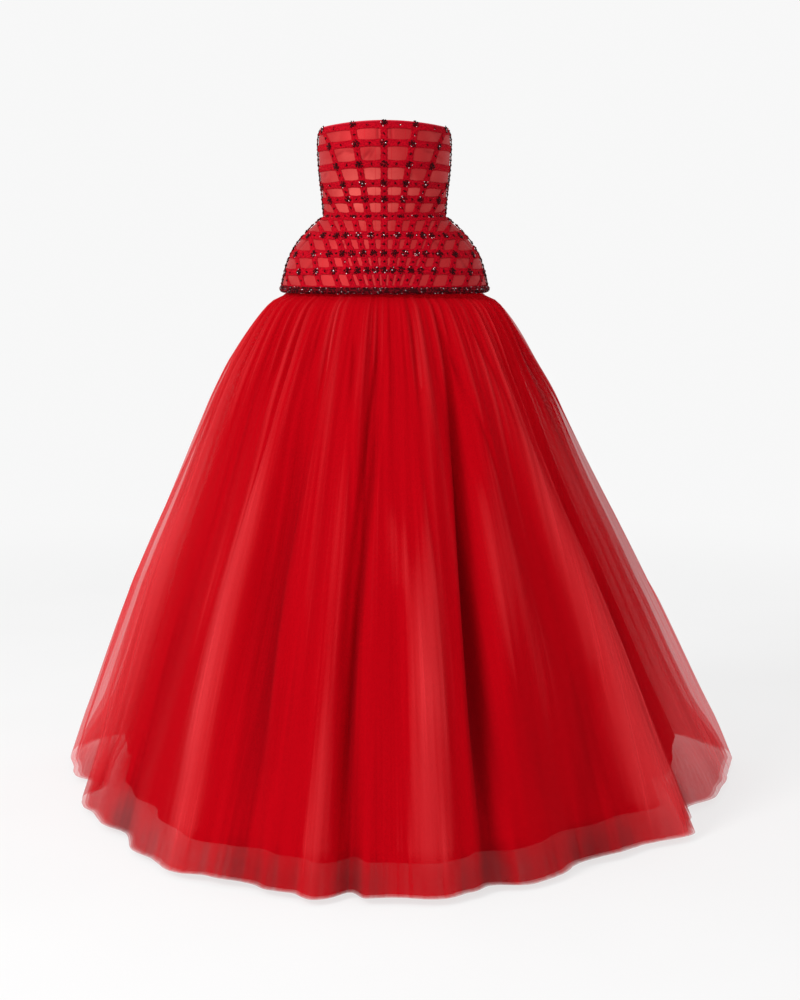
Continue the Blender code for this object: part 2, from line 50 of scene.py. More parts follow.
def readTable(rows, column, x):
    xs = np.array([row[0] for row in rows], float)
    ys = np.array([row[column] for row in rows], float)
    last = len(xs) - 1
    low = np.maximum(np.arange(last + 1) - 1, 0)
    high = np.minimum(np.arange(last + 1) + 1, last)
    slopes = (ys[high] - ys[low]) / (xs[high] - xs[low])
    x = np.clip(np.asarray(x, float), xs[0], xs[-1])
    i = np.clip(np.searchsorted(xs, x) - 1, 0, last - 1)
    span = xs[i + 1] - xs[i]
    t = (x - xs[i]) / span
    return (
        (1 + 2 * t) * (1 - t) ** 2 * ys[i]
        + t * (1 - t) ** 2 * span * slopes[i]
        + t * t * (3 - 2 * t) * ys[i + 1]
        + t * t * (t - 1) * span * slopes[i + 1]
    )


def bump(distance, spread):
    return np.exp(-((distance / spread) ** 2))


def easeLinear(x, start, end):
    return np.clip((x - start) / (end - start), 0, 1)


def easeIn(x, start, end):  # 0 at start, 1 at end, smooth between
    t = easeLinear(x, start, end)
    return t * t * (3 - 2 * t)


def wrap(angle):
    return (angle + pi) % (2 * pi) - pi


def unit(vectors):
    return vectors / np.linalg.norm(vectors, axis=-1, keepdims=True)


# The torso: level half ellipses, in metres. Angles run from the centre front towards +X.
torso = {
    "neckZ": 0.185,
    "hemZ": -0.140,
    "wall": 0.002,
    "seam": 0.0003,
    "zipTurn": 0.012,
    "meanRadius": 0.13,
    "bodice": [  # height, half width, front depth, back depth
        (0, 0.1225, 0.092, 0.09), (0.035, 0.125, 0.0965, 0.091), (0.07, 0.1292, 0.104, 0.093),
        (0.105, 0.1322, 0.112, 0.095), (0.145, 0.1334, 0.116, 0.0965), (0.165, 0.1312, 0.113, 0.0965),
        (0.19, 0.1235, 0.105, 0.095),
    ],
    "peplum": [
        (-0.15, 0.2105, 0.1525, 0.158), (-0.122, 0.205, 0.1475, 0.153), (-0.089, 0.1955, 0.139, 0.144),
        (-0.057, 0.178, 0.127, 0.13), (-0.026, 0.1515, 0.11, 0.111), (-0.012, 0.136, 0.1005, 0.1),
        (0, 0.1225, 0.092, 0.09),
    ],
    "droops": [  # height at the centre front, and how much lower it hangs at the sides
        (-0.14, 0.001), (-0.105, 0.009), (-0.072, 0.005), (-0.037, 0.002), (0, 0), (0.034, 0.004),
        (0.103, 0.009), (0.144, 0.009), (0.185, 0.012),
    ],
    "cup": {"rise": 0.006, "angle": radians(34), "spread": radians(24), "z": 0.125, "height": 0.045},
}


def torsoSize(column, z):  # 1 for the half width, 2 and 3 for the depths
    return np.where(z >= 0, readTable(torso["bodice"], column, z), readTable(torso["peplum"], column, z))


def torsoPoint(angle, z):
    ahead = np.cos(angle) >= 0
    x = torsoSize(1, z) * np.sin(angle)
    y = -np.where(ahead, torsoSize(2, z), torsoSize(3, z)) * np.cos(angle)
    cup = torso["cup"]
    swell = bump(np.abs(wrap(angle)) - cup["angle"], cup["spread"]) * bump(z - cup["z"], cup["height"])
    y = y - np.where(ahead & (z > 0), cup["rise"] * swell, 0)
    return np.stack([x, y, z + 0 * x], -1)


def levelNormal(ring, angle, z, stepAngle=0.01, stepZ=0.002):
    along = ring(angle + stepAngle, z) - ring(angle - stepAngle, z)
    top = np.minimum(z + stepZ, torso["neckZ"])
    up = ring(angle, top) - ring(angle, top - stepZ)
    out = unit(np.cross(along, up))
    out[..., 2] = 0
    return out


def onTorso(angle, height, offset):  # offset counts from the panel's inner face
    angle, height, offset = np.broadcast_arrays(angle, height, np.asarray(offset, float))
    z = height - readTable(torso["droops"], 1, height) * np.sin(angle) ** 2
    out = levelNormal(torsoPoint, angle, z)
    out = out / np.maximum((out**2).sum(-1, keepdims=True), 0.25)
    return torsoPoint(angle, z) + out * (offset[..., None] - torso["wall"])


def torsoFrames(angle, height, offset, step=0.004):
    origin = onTorso(angle, height, offset)
    across = unit(onTorso(angle + step, height, offset) - onTorso(angle - step, height, offset))
    up = unit(onTorso(angle, height + step, offset) - onTorso(angle, height - step, offset))
    out = unit(np.cross(across, up))
    return origin, across, np.cross(out, across), out


# The skirt: the way from the ring tucked under the peplum to the hem ring, with folds and gathers
skirt = {
    "tuckZ": -0.152,
    "hemZ": -1.220,
    "waistZ": -0.002,
    "liningHemZ": -1.170,
    "flares": [  # height, share of the way to the hem ring
        (-1.22, 1), (-1.12, 0.925), (-1.05, 0.868), (-0.892, 0.745), (-0.715, 0.6), (-0.568, 0.472),
        (-0.424, 0.35), (-0.362, 0.295), (-0.283, 0.212), (-0.24, 0.165), (-0.2, 0.114),
        (-0.172, 0.066), (-0.16, 0.018), (-0.152, 0),
    ],
    "hemRing": [  # degrees from the centre front, radius
        (-180, 0.79), (-150, 0.81), (-122, 0.82), (-105, 0.7), (-88, 0.632), (-70, 0.61), (-45, 0.62),
        (-20, 0.65), (0, 0.665), (20, 0.65), (42, 0.61), (68, 0.63), (88, 0.695), (105, 0.785),
        (118, 0.875), (150, 0.81), (180, 0.79),
    ],
    "foldHeights": (-1.22, -0.72, -0.30),
    "folds": [  # degrees at top, middle and hem, width left and right, depth at top, middle and hem
        (26, 21, 18.4, 4, 8, -0.016, -0.05, -0.022), (14, 11, 9, 9, 6, 0.006, 0.016, 0.016),
        (-2, -6, -5.5, 3, 3, -0.012, -0.018, -0.034), (-8, -11, -11, 4, 4, 0.008, 0.01, 0.022),
        (-24, -27, -23, 8, 4, -0.01, -0.03, -0.016), (-33, -38, -38, 9, 8, 0.01, 0.022, 0.018),
        (-52, -58, -62, 10, 10, -0.004, -0.012, -0.026), (-72, -80, -84, 8, 7, 0.004, 0.012, 0.01),
        (-86, -92, -97, 7, 8, -0.004, -0.02, -0.052), (34, 34, 40, 8, 10, 0.008, 0.014, -0.022),
        (47, 60, 67, 12, 7, 0.01, 0.03, 0.046), (60, 73, 81, 6, 9, -0.008, -0.034, -0.032),
        (92, 96, 104, 30, 30, -0.023, -0.013, 0.002), (-94, -102, -114, 38, 40, 0.024, 0.032, 0.012),
        (132, 134, 136, 12, 12, -0.008, -0.022, -0.036), (160, 158, 157, 10, 10, 0.008, 0.018, 0.024),
        (-134, -137, -139, 12, 12, -0.008, -0.022, -0.036),
        (-160, -158, -156, 10, 10, 0.008, 0.018, 0.024),
    ],
    "rooms": [  # height, depth inside the torso's surface, strength of gathers, lining's room
        (-1.22, 0.015, 0.1, 0.04), (-0.9, 0.015, 0.14, 0.044), (-0.6, 0.015, 0.2, 0.044),
        (-0.43, 0.015, 0.45, 0.038), (-0.28, 0.015, 1, 0.03), (-0.19, 0.015, 0.95, 0.02),
        (-0.152, 0.015, 0.4, 0.012), (-0.075, 0.009, 0.15, 0.008), (0, 0.0052, 0, 0.002),
    ],
    "liningBack": {"room": 0.070, "angle": radians(115), "spread": radians(38)},
    "liningCreases": 0.35,
    "seamSpread": radians(4),
    "creases": [  # top and end height, degrees at top, middle and end, width in degrees, depth
        (-0.25, -1.12, 25.5, 21, 20.5, 2, -0.01), (-0.33, -1.24, 24, 17.6, 17, 1, 0.005),
        (-0.45, -0.95, 27.5, 28.5, 28, 3, 0.005), (-0.2, -1.24, 2.6, -5.6, -6.9, 0.9, -0.009),
        (-0.19, -1, -1, -7.2, -8.2, 0.8, -0.006), (-0.18, -0.62, -13.5, -10, -8.3, 0.9, -0.006),
        (-0.4, -1.2, -29, -30.6, -29.5, 0.9, 0.005), (-0.38, -1.08, -31.5, -33, -33.2, 2.6, -0.008),
        (-0.2, -0.5, -28.5, -31, -32, 1.6, -0.006), (-0.42, -1.1, -38, -39.5, -41.5, 2.8, 0.006),
        (-0.2, -0.95, -19, -18, -16.4, 2.2, 0.005), (-0.7, -1.12, -19.3, -19.8, -20.3, 2, -0.005),
        (-0.5, -0.98, 1, 7, 9.2, 3, 0.006), (-0.66, -1.02, 3.9, 3.5, 3.3, 2, -0.004),
        (-0.48, -0.9, 36, 40, 46, 2.6, -0.005), (-0.84, -1.16, 54, 49, 45, 4, -0.006),
        (-0.22, -1.22, 49, 64, 70.5, 1.6, 0.006), (-0.19, -0.58, 24.5, 33, 37, 1, -0.006),
        (-0.18, -0.44, 40, 47, 52, 1.4, -0.005), (-0.18, -0.52, -44, -50, -52, 1.6, -0.004),
        (-0.3, -0.9, -63, -68, -71, 2.4, -0.005), (-0.2, -0.7, 8, 11, 13, 1.2, -0.004),
        (-0.24, -1.18, 84, 90, 95, 2.2, -0.009), (-0.2, -0.8, 104, 107, 109, 1.6, 0.006),
        (-0.35, -1.16, 116, 118, 121, 2.6, -0.01), (-0.18, -1.2, 126, 126, 128, 1.2, 0.006),
        (-0.28, -0.92, 141, 144, 146, 2.2, -0.008), (-0.2, -1.22, 151, 150, 148, 1.4, -0.007),
        (-0.4, -1.14, 168, 166, 167, 3, 0.007), (-0.22, -1.05, 176, 174, 175, 1.2, -0.008),
        (-0.19, -0.76, -172, -171, -169, 1, -0.006), (-0.3, -1.21, -165, -167, -168, 2.4, -0.009),
        (-0.24, -1, -148, -149, -147, 1.4, 0.006), (-0.36, -1.18, -142, -144, -147, 2.6, -0.008),
        (-0.2, -0.88, -125, -127, -126, 1.8, -0.007), (-0.26, -1.2, -114, -117, -121, 1.3, 0.006),
        (-0.22, -1.1, -104, -107, -110, 2.4, -0.009), (-0.19, -0.66, -80, -84, -88, 1.2, -0.005),
        (-0.62, -1.26, -93, -94.5, -96, 1.3, 0.01), (-0.7, -1.26, -97, -99, -101, 1.2, -0.009),
        (-0.66, -1.26, -101, -104, -106, 1.4, 0.009), (-0.6, -1.26, 98, 101, 103, 1.6, -0.009),
        (-0.72, -1.26, 108, 110, 112, 1.5, 0.009),
    ],
    "gathers": [  # waves round the skirt, their phase and size
        (43, 0.4, 0.0034), (61, 1.9, 0.003), (83, 4.1, 0.0023), (127, 2.6, 0.0013),
    ],
    # inset where it is full, more where the outer layer stands off, phase of the gathers,
    # rise of the hem, share of light that the net stops, columns a degree
    "layers": {
        "outer": (0.000, 0.000, 0.0, 0.0000, 0.54, 3.0),
        "middle": (0.010, 0.020, 1.7, 0.0005, 0.48, 2.0),
        "inner": (0.021, 0.030, 3.9, 0.0010, 0.48, 2.0),
        "under": (0.034, 0.034, 5.3, 0.0020, 0.95, 1.8),
    },
    "insetDepth": 0.5,
    "meeting": {"share": 0.65, "top": 1.06, "low": 1.20},  # the layers draw together at the hem
    "looseSides": {"angle": radians(108), "spread": radians(28), "top": 0.40, "low": 0.95},
    "coverFade": {  # of the under layer: where it starts and ends, and what is left of it at the hem
        "sides": (74, 90),
        "low": (1.10, 1.19),
        "hem": 0.90,
        "hemRight": (0.45, 14, 60),
        "hemLeft": (0.30, 50, 80),
    },
    # painted shade and highlight: troughs and the hem are painted darker, ridges are painted paler
    "paintedShading": {  # depths that are darkest and palest, shares of the creases and gathers, shade at the hem
        "trough": 0.050,
        "ridge": 0.040,
        "creases": 1.8,
        "gathers": 3.0,
        "hem": (0.19, 1.13, 1.19),
        # painted highlight on each layer's loose sides, standing in for light coming through the net there
        "standsOffHighlight": {"outer": 0.50, "middle": 0.25, "inner": 0.25, "under": 0.25},
    },
    # a painted glow of the net's own colour, standing in for light scattered through its layers
    "paintedNetGlow": 0.26,
    "gores": {  # degrees, and the CAD node's ending
        "Front": (-34.2, 34.2, "front"),
        "SideLeft": (34.2, 90.0, "side_left"),
        "SideRight": (-90.0, -34.2, "side_right"),
        "BackLeft": (90.0, 180.0, "back_left"),
        "BackRight": (-180.0, -90.0, "back_right"),
    },
}


def skirtForm(angle, z):
    inward = readTable(skirt["rooms"], 1, z)
    upperZ = np.maximum(z, skirt["tuckZ"])
    upper = torsoPoint(angle, upperZ) - levelNormal(torsoPoint, angle, upperZ) * inward[..., None]
    radius = readTable(skirt["hemRing"], 1, np.degrees(wrap(angle)))
    hem = np.stack([radius * np.sin(angle), -radius * np.cos(angle), z + 0 * radius], -1)
    share = np.where(z < skirt["tuckZ"], readTable(skirt["flares"], 1, z), 0)[..., None]
    point = upper * (1 - share) + hem * share
    point[..., 2] = z
    return point


def largeFolds(angle, z):
    depth = np.zeros_like(angle)
    heights = skirt["foldHeights"]
    for top, middle, hem, left, right, topDepth, middleDepth, hemDepth in skirt["folds"]:
        centre = readTable(list(zip(heights, (hem, middle, top))), 1, z)
        size = readTable(list(zip(heights, (hemDepth, middleDepth, topDepth))), 1, z)
        away = np.degrees(wrap(angle - np.radians(centre)))
        width = np.where(away > 0, right, left)
        near = np.clip(np.abs(away) / width, 0, 1)
        depth += size * (1 + np.cos(pi * near)) / 2
    return depth * (1 - easeLinear(z, skirt["foldHeights"][2], skirt["tuckZ"]))


def fineCreases(angle, z):
    depth = np.zeros_like(angle)
    for top, end, first, middle, last, width, size in skirt["creases"]:
        t = easeLinear(z, top, end)
        centre = first * (1 - t) ** 2 + (4 * middle - first - last) * t * (1 - t) + last * t * t
        away = np.degrees(wrap(angle - np.radians(centre)))
        strength = easeIn(t, 0, 0.22) * (1 - 0.8 * easeIn(t, 0.72, 1))
        depth += size * strength * bump(away, width)
    return depth


def gatherWaves(angle, z, phase):
    strength = readTable(skirt["rooms"], 2, z)
    drift = 0.05 * np.sin(3 * angle + phase) * (z - skirt["tuckZ"])
    depth = np.zeros_like(angle)
    for waves, start, size in skirt["gathers"]:
        swell = 0.65 + 0.45 * np.sin(angle * 7 + start * 3 + phase)
        depth += size * swell * np.cos(waves * (angle + drift) + start + phase)
    return depth * strength


def onSkirt(angle, z, inset=0.0, phase=0.0, lining=False):
    angle, z = np.broadcast_arrays(np.asarray(angle, float), np.asarray(z, float))
    out = levelNormal(skirtForm, angle, z)
    out[..., 0] *= 1 - bump(np.abs(wrap(angle)) - pi, skirt["seamSpread"])  # both backs meet at the centre
    out = unit(out)
    depth = largeFolds(angle, z)
    if lining:
        back = skirt["liningBack"]
        flare = np.where(z < skirt["tuckZ"], readTable(skirt["flares"], 1, z), 0)
        room = readTable(skirt["rooms"], 3, z)
        room = room + back["room"] * flare * bump(np.abs(wrap(angle)) - back["angle"], back["spread"])
        depth = depth + skirt["liningCreases"] * fineCreases(angle, z) - room
    else:
        depth = depth + fineCreases(angle, z) + gatherWaves(angle, z, phase)
        depth = depth - inset * easeLinear(-z, -skirt["waistZ"], skirt["insetDepth"])
    return skirtForm(angle, z) + out * depth[..., None]


# Meshes from rows of points

def makeObject(name, mesh):
    piece = bpy.data.objects.new(name, mesh)
    scene.collection.objects.link(piece)
    return piece


def gridFaces(rows, columns):
    index = np.arange(rows * columns).reshape(rows, columns)
    corners = (index[:-1, :-1], index[:-1, 1:], index[1:, 1:], index[1:, :-1])
    return np.stack(corners, -1).reshape(-1, 4)


def addMesh(name, points, faces, finishes, cloth=None):  # cloth: place on the flat cut, in metres
    mesh = bpy.data.meshes.new(name)
    mesh.from_pydata(points.reshape(-1, 3).tolist(), [], faces.tolist())
    if cloth is not None:
        corner = np.empty(len(mesh.loops), np.int32)
        mesh.loops.foreach_get("vertex_index", corner)
        layer = mesh.uv_layers.new(name="cloth")
        layer.data.foreach_set("uv", cloth.reshape(-1, 2)[corner].astype(np.float32).ravel())
    for finish in finishes:
        mesh.materials.append(finish)
    mesh.shade_smooth()
    piece = makeObject(name, mesh)
    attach(piece, "root")
    return piece


def addCloth(name, points, cloth, finish):
    return addMesh(name, points, gridFaces(*points.shape[:2]), [finish], cloth)


def addShell(name, outer, inner, cloth, finish):  # a closed wall between two grids of points
    rows, columns = outer.shape[:2]
    count = rows * columns
    index = np.arange(count).reshape(rows, columns)
    faces = gridFaces(rows, columns)
    rim = np.concatenate([index[0, :-1], index[:-1, -1], index[-1, :0:-1], index[:0:-1, 0]])
    nextRim = np.roll(rim, -1)
    sides = np.stack([nextRim, rim, rim + count, nextRim + count], -1)
    faces = np.concatenate([faces, faces[:, ::-1] + count, sides])
    piece = addMesh(name, np.stack([outer, inner]), faces, [finish], np.stack([cloth, cloth]))
    piece.data.set_sharp_from_angle(angle=radians(50))
    return piece


def addValues(piece, name, values):
    layer = piece.data.attributes.new(name, "FLOAT", "POINT")
    layer.data.foreach_set("value", values.astype(np.float32).ravel())


def clothSize(points):  # the cut's width along its longer edge, its length and its area
    steps = np.linalg.norm(np.diff(points, axis=1), axis=-1).sum(1)
    drops = np.linalg.norm(np.diff(points, axis=0), axis=-1).sum(0)
    a = points[1:, :-1] - points[:-1, :-1]
    b = points[:-1, 1:] - points[:-1, :-1]
    area = np.linalg.norm(np.cross(a, b), axis=-1).sum()
    width, length = float(steps.max()), float(drops.max())
    return (round(width, 3), round(length, 3)), round(min(float(area), width * length), 4)


# Finishes. Wire lets a socket be used in sums, Finish holds one material's nodes.

class Wire:
    def __init__(self, finish, socket):
        self.finish, self.socket = finish, socket

    def __add__(self, other):
        return self.finish.maths("ADD", self, other)

    def __radd__(self, other):
        return self.finish.maths("ADD", other, self)

    def __sub__(self, other):
        return self.finish.maths("SUBTRACT", self, other)

    def __rsub__(self, other):
        return self.finish.maths("SUBTRACT", other, self)

    def __mul__(self, other):
        return self.finish.maths("MULTIPLY", self, other)

    def __rmul__(self, other):
        return self.finish.maths("MULTIPLY", other, self)

    def __truediv__(self, other):
        return self.finish.maths("DIVIDE", self, other)

    def __rtruediv__(self, other):
        return self.finish.maths("DIVIDE", other, self)


class Finish:
    def __init__(self, name, roughness=0.6, metallic=0.0, coat=0.0, sheen=0.0, gloss=0.15, light=0.0):
        self.material = bpy.data.materials.new(name)
        self.material.use_nodes = True
        self.material.cycles.emission_sampling = "NONE"  # faint and wide glows need no lamp samples
        self.tree = self.material.node_tree
        self.shader = self.tree.nodes["Principled BSDF"]
        plain = {
            "Roughness": roughness,
            "Metallic": metallic,
            "Coat Weight": coat,
            "Specular IOR Level": gloss,
            "Sheen Weight": sheen,
            "Sheen Tint": (1, 0.3, 0.35, 1),
            "Emission Strength": light,
        }
        for socket, value in plain.items():
            self.shader.inputs[socket].default_value = value

    def node(self, kind, settings=None, values=(), output=0):
        made = self.tree.nodes.new("ShaderNode" + kind)
        for setting, value in (settings or {}).items():
            if setting == "stops":
                ramp = made.color_ramp.elements
                while len(ramp) < len(value):
                    ramp.new(0.5)
                for element, (position, colour) in zip(ramp, value):
                    element.position = position
                    element.color = colour
            else:
                setattr(made, setting, value)
        named = values.items() if isinstance(values, dict) else enumerate(values)
        for socket, value in named:
            self.fill(made.inputs[socket], value)
        return Wire(self, made.outputs[output])

    def fill(self, socket, value):
        if isinstance(value, Wire):
            self.tree.links.new(value.socket, socket)
        else:
            socket.default_value = value

    def drive(self, **sockets):
        for name, value in sockets.items():
            self.fill(self.shader.inputs[socketNames[name]], value)

    def maths(self, operation, *values):
        return self.node("Math", {"operation": operation}, values)

    def attribute(self, name):
        return self.node("Attribute", {"attribute_name": name}, output=2)

    def place(self):  # in the piece's own space
        return self.node("TexCoord", output=3)

    def cloth(self):  # place on the flat cut, in metres
        split = self.node("SeparateXYZ", None, [self.node("UVMap", {"uv_map": "cloth"})])
        return split, Wire(self, split.socket.node.outputs[1])

    def noise(self, vector, scale, detail):
        values = {"Vector": vector, "Scale": scale, "Detail": detail, "Roughness": 0.5}
        return self.node("TexNoise", {"noise_dimensions": "3D"}, values)

    def patches(self, x, y, z, detail):
        return self.noise(self.node("CombineXYZ", None, [x, y, z]), 1.0, detail)

    def blend(self, amount, first, second):
        kind = {"data_type": "RGBA", "blend_type": "MIX"}
        return self.node("Mix", kind, {0: amount, 6: first, 7: second}, output=2)

    def ramp(self, value, stops):
        return self.node("ValToRGB", {"stops": stops}, [value])

    def relief(self, height, strength, distance):
        return self.node("Bump", None, {"Strength": strength, "Distance": distance, "Height": height})


socketNames = {
    "colour": "Base Color",
    "roughness": "Roughness",
    "alpha": "Alpha",
    "normal": "Normal",
    "glow": "Emission Color",
}

reds = {  # linear colours
    "tulle": (0.41, 0.000, 0.004, 1),
    # painted shade of the folds and the hem, also reached by random mottle
    "tulleShadeAndMottle": (0.18, 0.000, 0.002, 1),
    # painted highlight on the ridges and loose sides, also reached by random mottle
    "tulleLight": (0.58, 0.030, 0.036, 1),
    "lining": (0.42, 0.000, 0.004, 1),
    # painted shade of the lining's folds and hem, also reached by random clouds
    "liningShadeAndMottle": (0.18, 0.000, 0.002, 1),
    "coral": (0.72, 0.108, 0.092, 1),
    # painted shade away from the pale patch, also reached by random clouds
    "coralShadeAndMottle": (0.42, 0.022, 0.023, 1),
    # painted shade in the mesh's creases
    "creaseShadeColour": (0.20, 0.004, 0.006, 1),
    "band": (0.48, 0.001, 0.010, 1),
    "bandDeep": (0.22, 0.000, 0.005, 1),
    "binding": (0.56, 0.002, 0.022, 1),
    "zip": (0.45, 0.004, 0.018, 1),
    "rollCloth": (0.05, 0.000, 0.002, 1),
}

nets = {"tulle": 0.0024, "corset": 0.0016, "ribs": 0.0011}  # pitch of the threads, in metres


def grey(level):
    return (level, level, level, 1)


def threads(finish, u, v, pitch):  # 1 on the threads of a net, 0 in its holes
    across, along = (finish.maths("SINE", place * (2 * pi / pitch)) for place in (u, v))
    return 1 - (across * across) * (along * along)


def makeTulle(name, alpha):
    # the tulle glows faintly: painted light standing in for light scattered through the net
    finish = Finish(name, roughness=0.85, sheen=0.015, gloss=0.03, light=skirt["paintedNetGlow"])
    u, v = finish.cloth()
    clouds = finish.patches(u * 12, v * 1.1, 7.0, 1.0) - 0.5
    streaks = finish.patches(u * 42, v * 1.8, 0.0, 1.0)
    lines = finish.patches(u * 260, v * 2.6, 3.0, 0.0) - 0.5
    grain = finish.patches(u * 430, v * 340, 5.0, 0.0) - 0.5
    net = threads(finish, u, v, nets["tulle"])
    # tone: painted shade and highlight from the fold values, plus random clouds, streaks, lines and grain
    tone = finish.attribute("fold") + clouds * 0.5 + (streaks - 0.5) * 0.35 + lines * 0.12 + grain * 0.20
    stops = [(0.02, "tulleShadeAndMottle"), (0.40, "tulle"), (0.58, "tulle"), (1.0, "tulleLight")]
    colour = finish.ramp(tone, [(place, reds[stop]) for place, stop in stops])
    dense = alpha * (0.75 + 0.35 * net) + ((streaks - 0.5) * 0.5 + lines * 0.4) * (1 - alpha)
    dense = finish.node("Clamp", None, [dense * finish.attribute("cover"), 0.0, 0.98])
    # the emission repeats the colour, painted shade and highlight included, as a faint painted glow
    finish.drive(colour=colour, glow=colour, alpha=dense, normal=finish.relief(streaks, 0.3, 0.0012))
    return finish.material


def makeLining():
    finish = Finish("liningSatin", roughness=0.55, sheen=0.05, gloss=0.12)
    u, v = finish.cloth()
    weave = finish.patches(u * 900, v * 260, 0.0, 2.0)
    clouds = finish.patches(u * 4, v * 2, 3.0, 3.0)
    # painted shade in the troughs and towards the hem, from the fold values; random clouds darken it too
    colour = finish.ramp(finish.attribute("fold"), [(0.05, reds["liningShadeAndMottle"]), (0.45, reds["lining"])])
    colour = finish.blend(clouds * 0.25, colour, reds["liningShadeAndMottle"])
    finish.drive(colour=colour, roughness=0.5 + 0.2 * weave, normal=finish.relief(weave, 0.15, 0.0004))
    return finish.material


def makeCorset():
    finish = Finish("corsetMesh", roughness=0.5, metallic=0.35, sheen=0.04, gloss=0.15)
    u, v = finish.cloth()
    net = threads(finish, u, v, nets["corset"])
    clouds = finish.patches(u * 14, v * 14, 1.0, 3.0)
    grain = finish.patches(u * 420, v * 420, 0.0, 2.0)
    # painted light: the mesh is painted palest left of the centre above the waist, where the light falls,
    # and painted darker farther from there; random clouds mix in
    across, rise = (u + 0.03) / 0.10, (v - 0.06) / 0.08  # palest left of the centre, above the waist
    away = finish.maths("MINIMUM", across * across + rise * rise, 1.3)
    patch = finish.ramp(clouds * 0.8 + away * 0.34, [(0.30, grey(0)), (0.80, grey(1))])
    colour = finish.blend(patch, reds["coral"], reds["coralShadeAndMottle"])
    # painted shade in the creases, by their depth
    colour = finish.blend(finish.attribute("crease") * 0.6, colour, reds["creaseShadeColour"])
    colour = finish.blend(net * 0.30, colour, reds["band"])
    bones = 0.0
    for place in corset["bones"]:  # channels that show through the net as fine darker lines
        bones = finish.maths("LESS_THAN", finish.maths("ABSOLUTE", u - place), 0.0007) + bones
    colour = finish.blend(bones * 0.45, colour, reds["band"])
    relief = finish.relief(net * 0.4 + grain, 0.3, 0.0004)
    finish.drive(colour=colour, roughness=0.48 + grain * 0.2, normal=relief)
    return finish.material


def makeBand():
    finish = Finish("bandTape", roughness=0.8, gloss=0.04)
    u, v = finish.cloth()  # u runs along the tape, v across it from -1 to 1
    ribs = finish.maths("SINE", u * (2 * pi / nets["ribs"]))
    edge = finish.maths("ABSOLUTE", v)
    stitched = finish.ramp(edge, [(0.70, grey(0)), (0.78, grey(1)), (0.86, grey(0))])
    mottle = finish.patches(u * 230, v * 2.4, 0.0, 4.0)
    patch = finish.ramp(mottle, [(0.40, grey(0)), (0.60, grey(1))])
    colour = finish.blend(patch * 0.8, reds["band"], reds["bandDeep"])
    colour = finish.blend(stitched * 0.4, colour, reds["bandDeep"])
    finish.drive(colour=colour, normal=finish.relief(ribs * 0.4 + mottle - stitched * 0.8, 0.45, 0.0005))
    return finish.material


def makeSatin(name, colourName, roughness):
    finish = Finish(name, roughness=roughness, sheen=0.05, gloss=0.2)
    weave = finish.noise(finish.place(), 900.0, 2.0)
    colour = finish.blend(weave * 0.4, reds[colourName], reds["bandDeep"])
    finish.drive(colour=colour, normal=finish.relief(weave, 0.2, 0.0003))
    return finish.material


def makeBead(name, first, second, roughness, metallic=0.0, coat=0.0, gloss=0.07):
    finish = Finish(name, roughness=roughness, metallic=metallic, coat=coat, gloss=gloss)
    tone = finish.noise(finish.place(), 260.0, 2.0)
    finish.drive(colour=finish.blend(tone, first, second), roughness=roughness + 0.1 * tone)
    return finish.material


def makePaper():
    finish = Finish("backdropPaper", roughness=0.95, gloss=0.0, light=1.0)
    far = finish.attribute("far")
    near, wall = (grey(glow) for glow in studio["glows"])
    colour = finish.blend(finish.noise(finish.place(), 3.0, 2.0), grey(0.21), grey(0.23))
    finish.drive(colour=finish.blend(far, colour, grey(0)), glow=finish.blend(far, near, wall))
    return finish.material


corset = {
    "columns": 172,
    "rows": 52,
    "creases": [  # from degrees and height to degrees and height, width and depth
        (-5.4, 0.174, -4.6, 0.149, 0.0026, 0.0012), (6.2, 0.174, 6.8, 0.15, 0.0026, 0.0011),
        (-10.5, 0.132, -19.8, 0.11, 0.003, 0.0014), (-7, 0.136, -13, 0.112, 0.0026, 0.0009),
        (-46, 0.124, -36, 0.132, 0.003, 0.0013), (-36, 0.132, -25, 0.126, 0.003, 0.0012),
        (36, 0.133, 47, 0.13, 0.0028, 0.0012), (47, 0.13, 60, 0.119, 0.003, 0.0013),
        (-60, 0.092, -70, 0.086, 0.0032, 0.0011), (20, 0.094, 27, 0.076, 0.003, 0.001),
        (62, 0.06, 72, 0.045, 0.0032, 0.0012), (-33, 0.056, -40, 0.043, 0.0028, 0.001),
        (-62, -0.03, -70, -0.062, 0.0036, 0.0014), (-47, -0.084, -55, -0.128, 0.0036, 0.0014),
        (-25, -0.044, -31, -0.068, 0.003, 0.0012), (34, -0.044, 42, -0.07, 0.0032, 0.0013),
        (52, -0.08, 60, -0.12, 0.0036, 0.0014), (66, -0.028, 75, -0.064, 0.0034, 0.0013),
        (-72, -0.092, -78, -0.132, 0.0038, 0.0013), (70, -0.096, 77, -0.134, 0.0038, 0.0012),
        (112, 0.15, 124, 0.118, 0.0034, 0.0013), (140, 0.092, 151, 0.068, 0.003, 0.0011),
        (104, 0.052, 114, 0.042, 0.0032, 0.0012), (128, -0.04, 134, -0.08, 0.0036, 0.0014),
        (106, -0.08, 110, -0.128, 0.0038, 0.0013), (152, -0.09, 157, -0.13, 0.0034, 0.0012),
        (-118, 0.14, -128, 0.112, 0.0034, 0.0013), (-150, 0.088, -158, 0.06, 0.003, 0.0011),
        (-101, 0.07, -110, 0.055, 0.0032, 0.0012), (-124, -0.05, -132, -0.092, 0.0036, 0.0014),
        (-104, -0.076, -108, -0.126, 0.0038, 0.0013), (-148, -0.086, -155, -0.128, 0.0034, 0.0012),
    ],
    "bones": (-0.172, -0.118, -0.036, -0.016, 0.014, 0.040, 0.122, 0.176),
}
tulleFinishes = {name: makeTulle("tulle_" + name, layer[4]) for name, layer in skirt["layers"].items()}
liningFinish = makeLining()
corsetFinish = makeCorset()
bandFinish = makeBand()
bindingFinish = makeSatin("bindingSatin", "binding", 0.45)
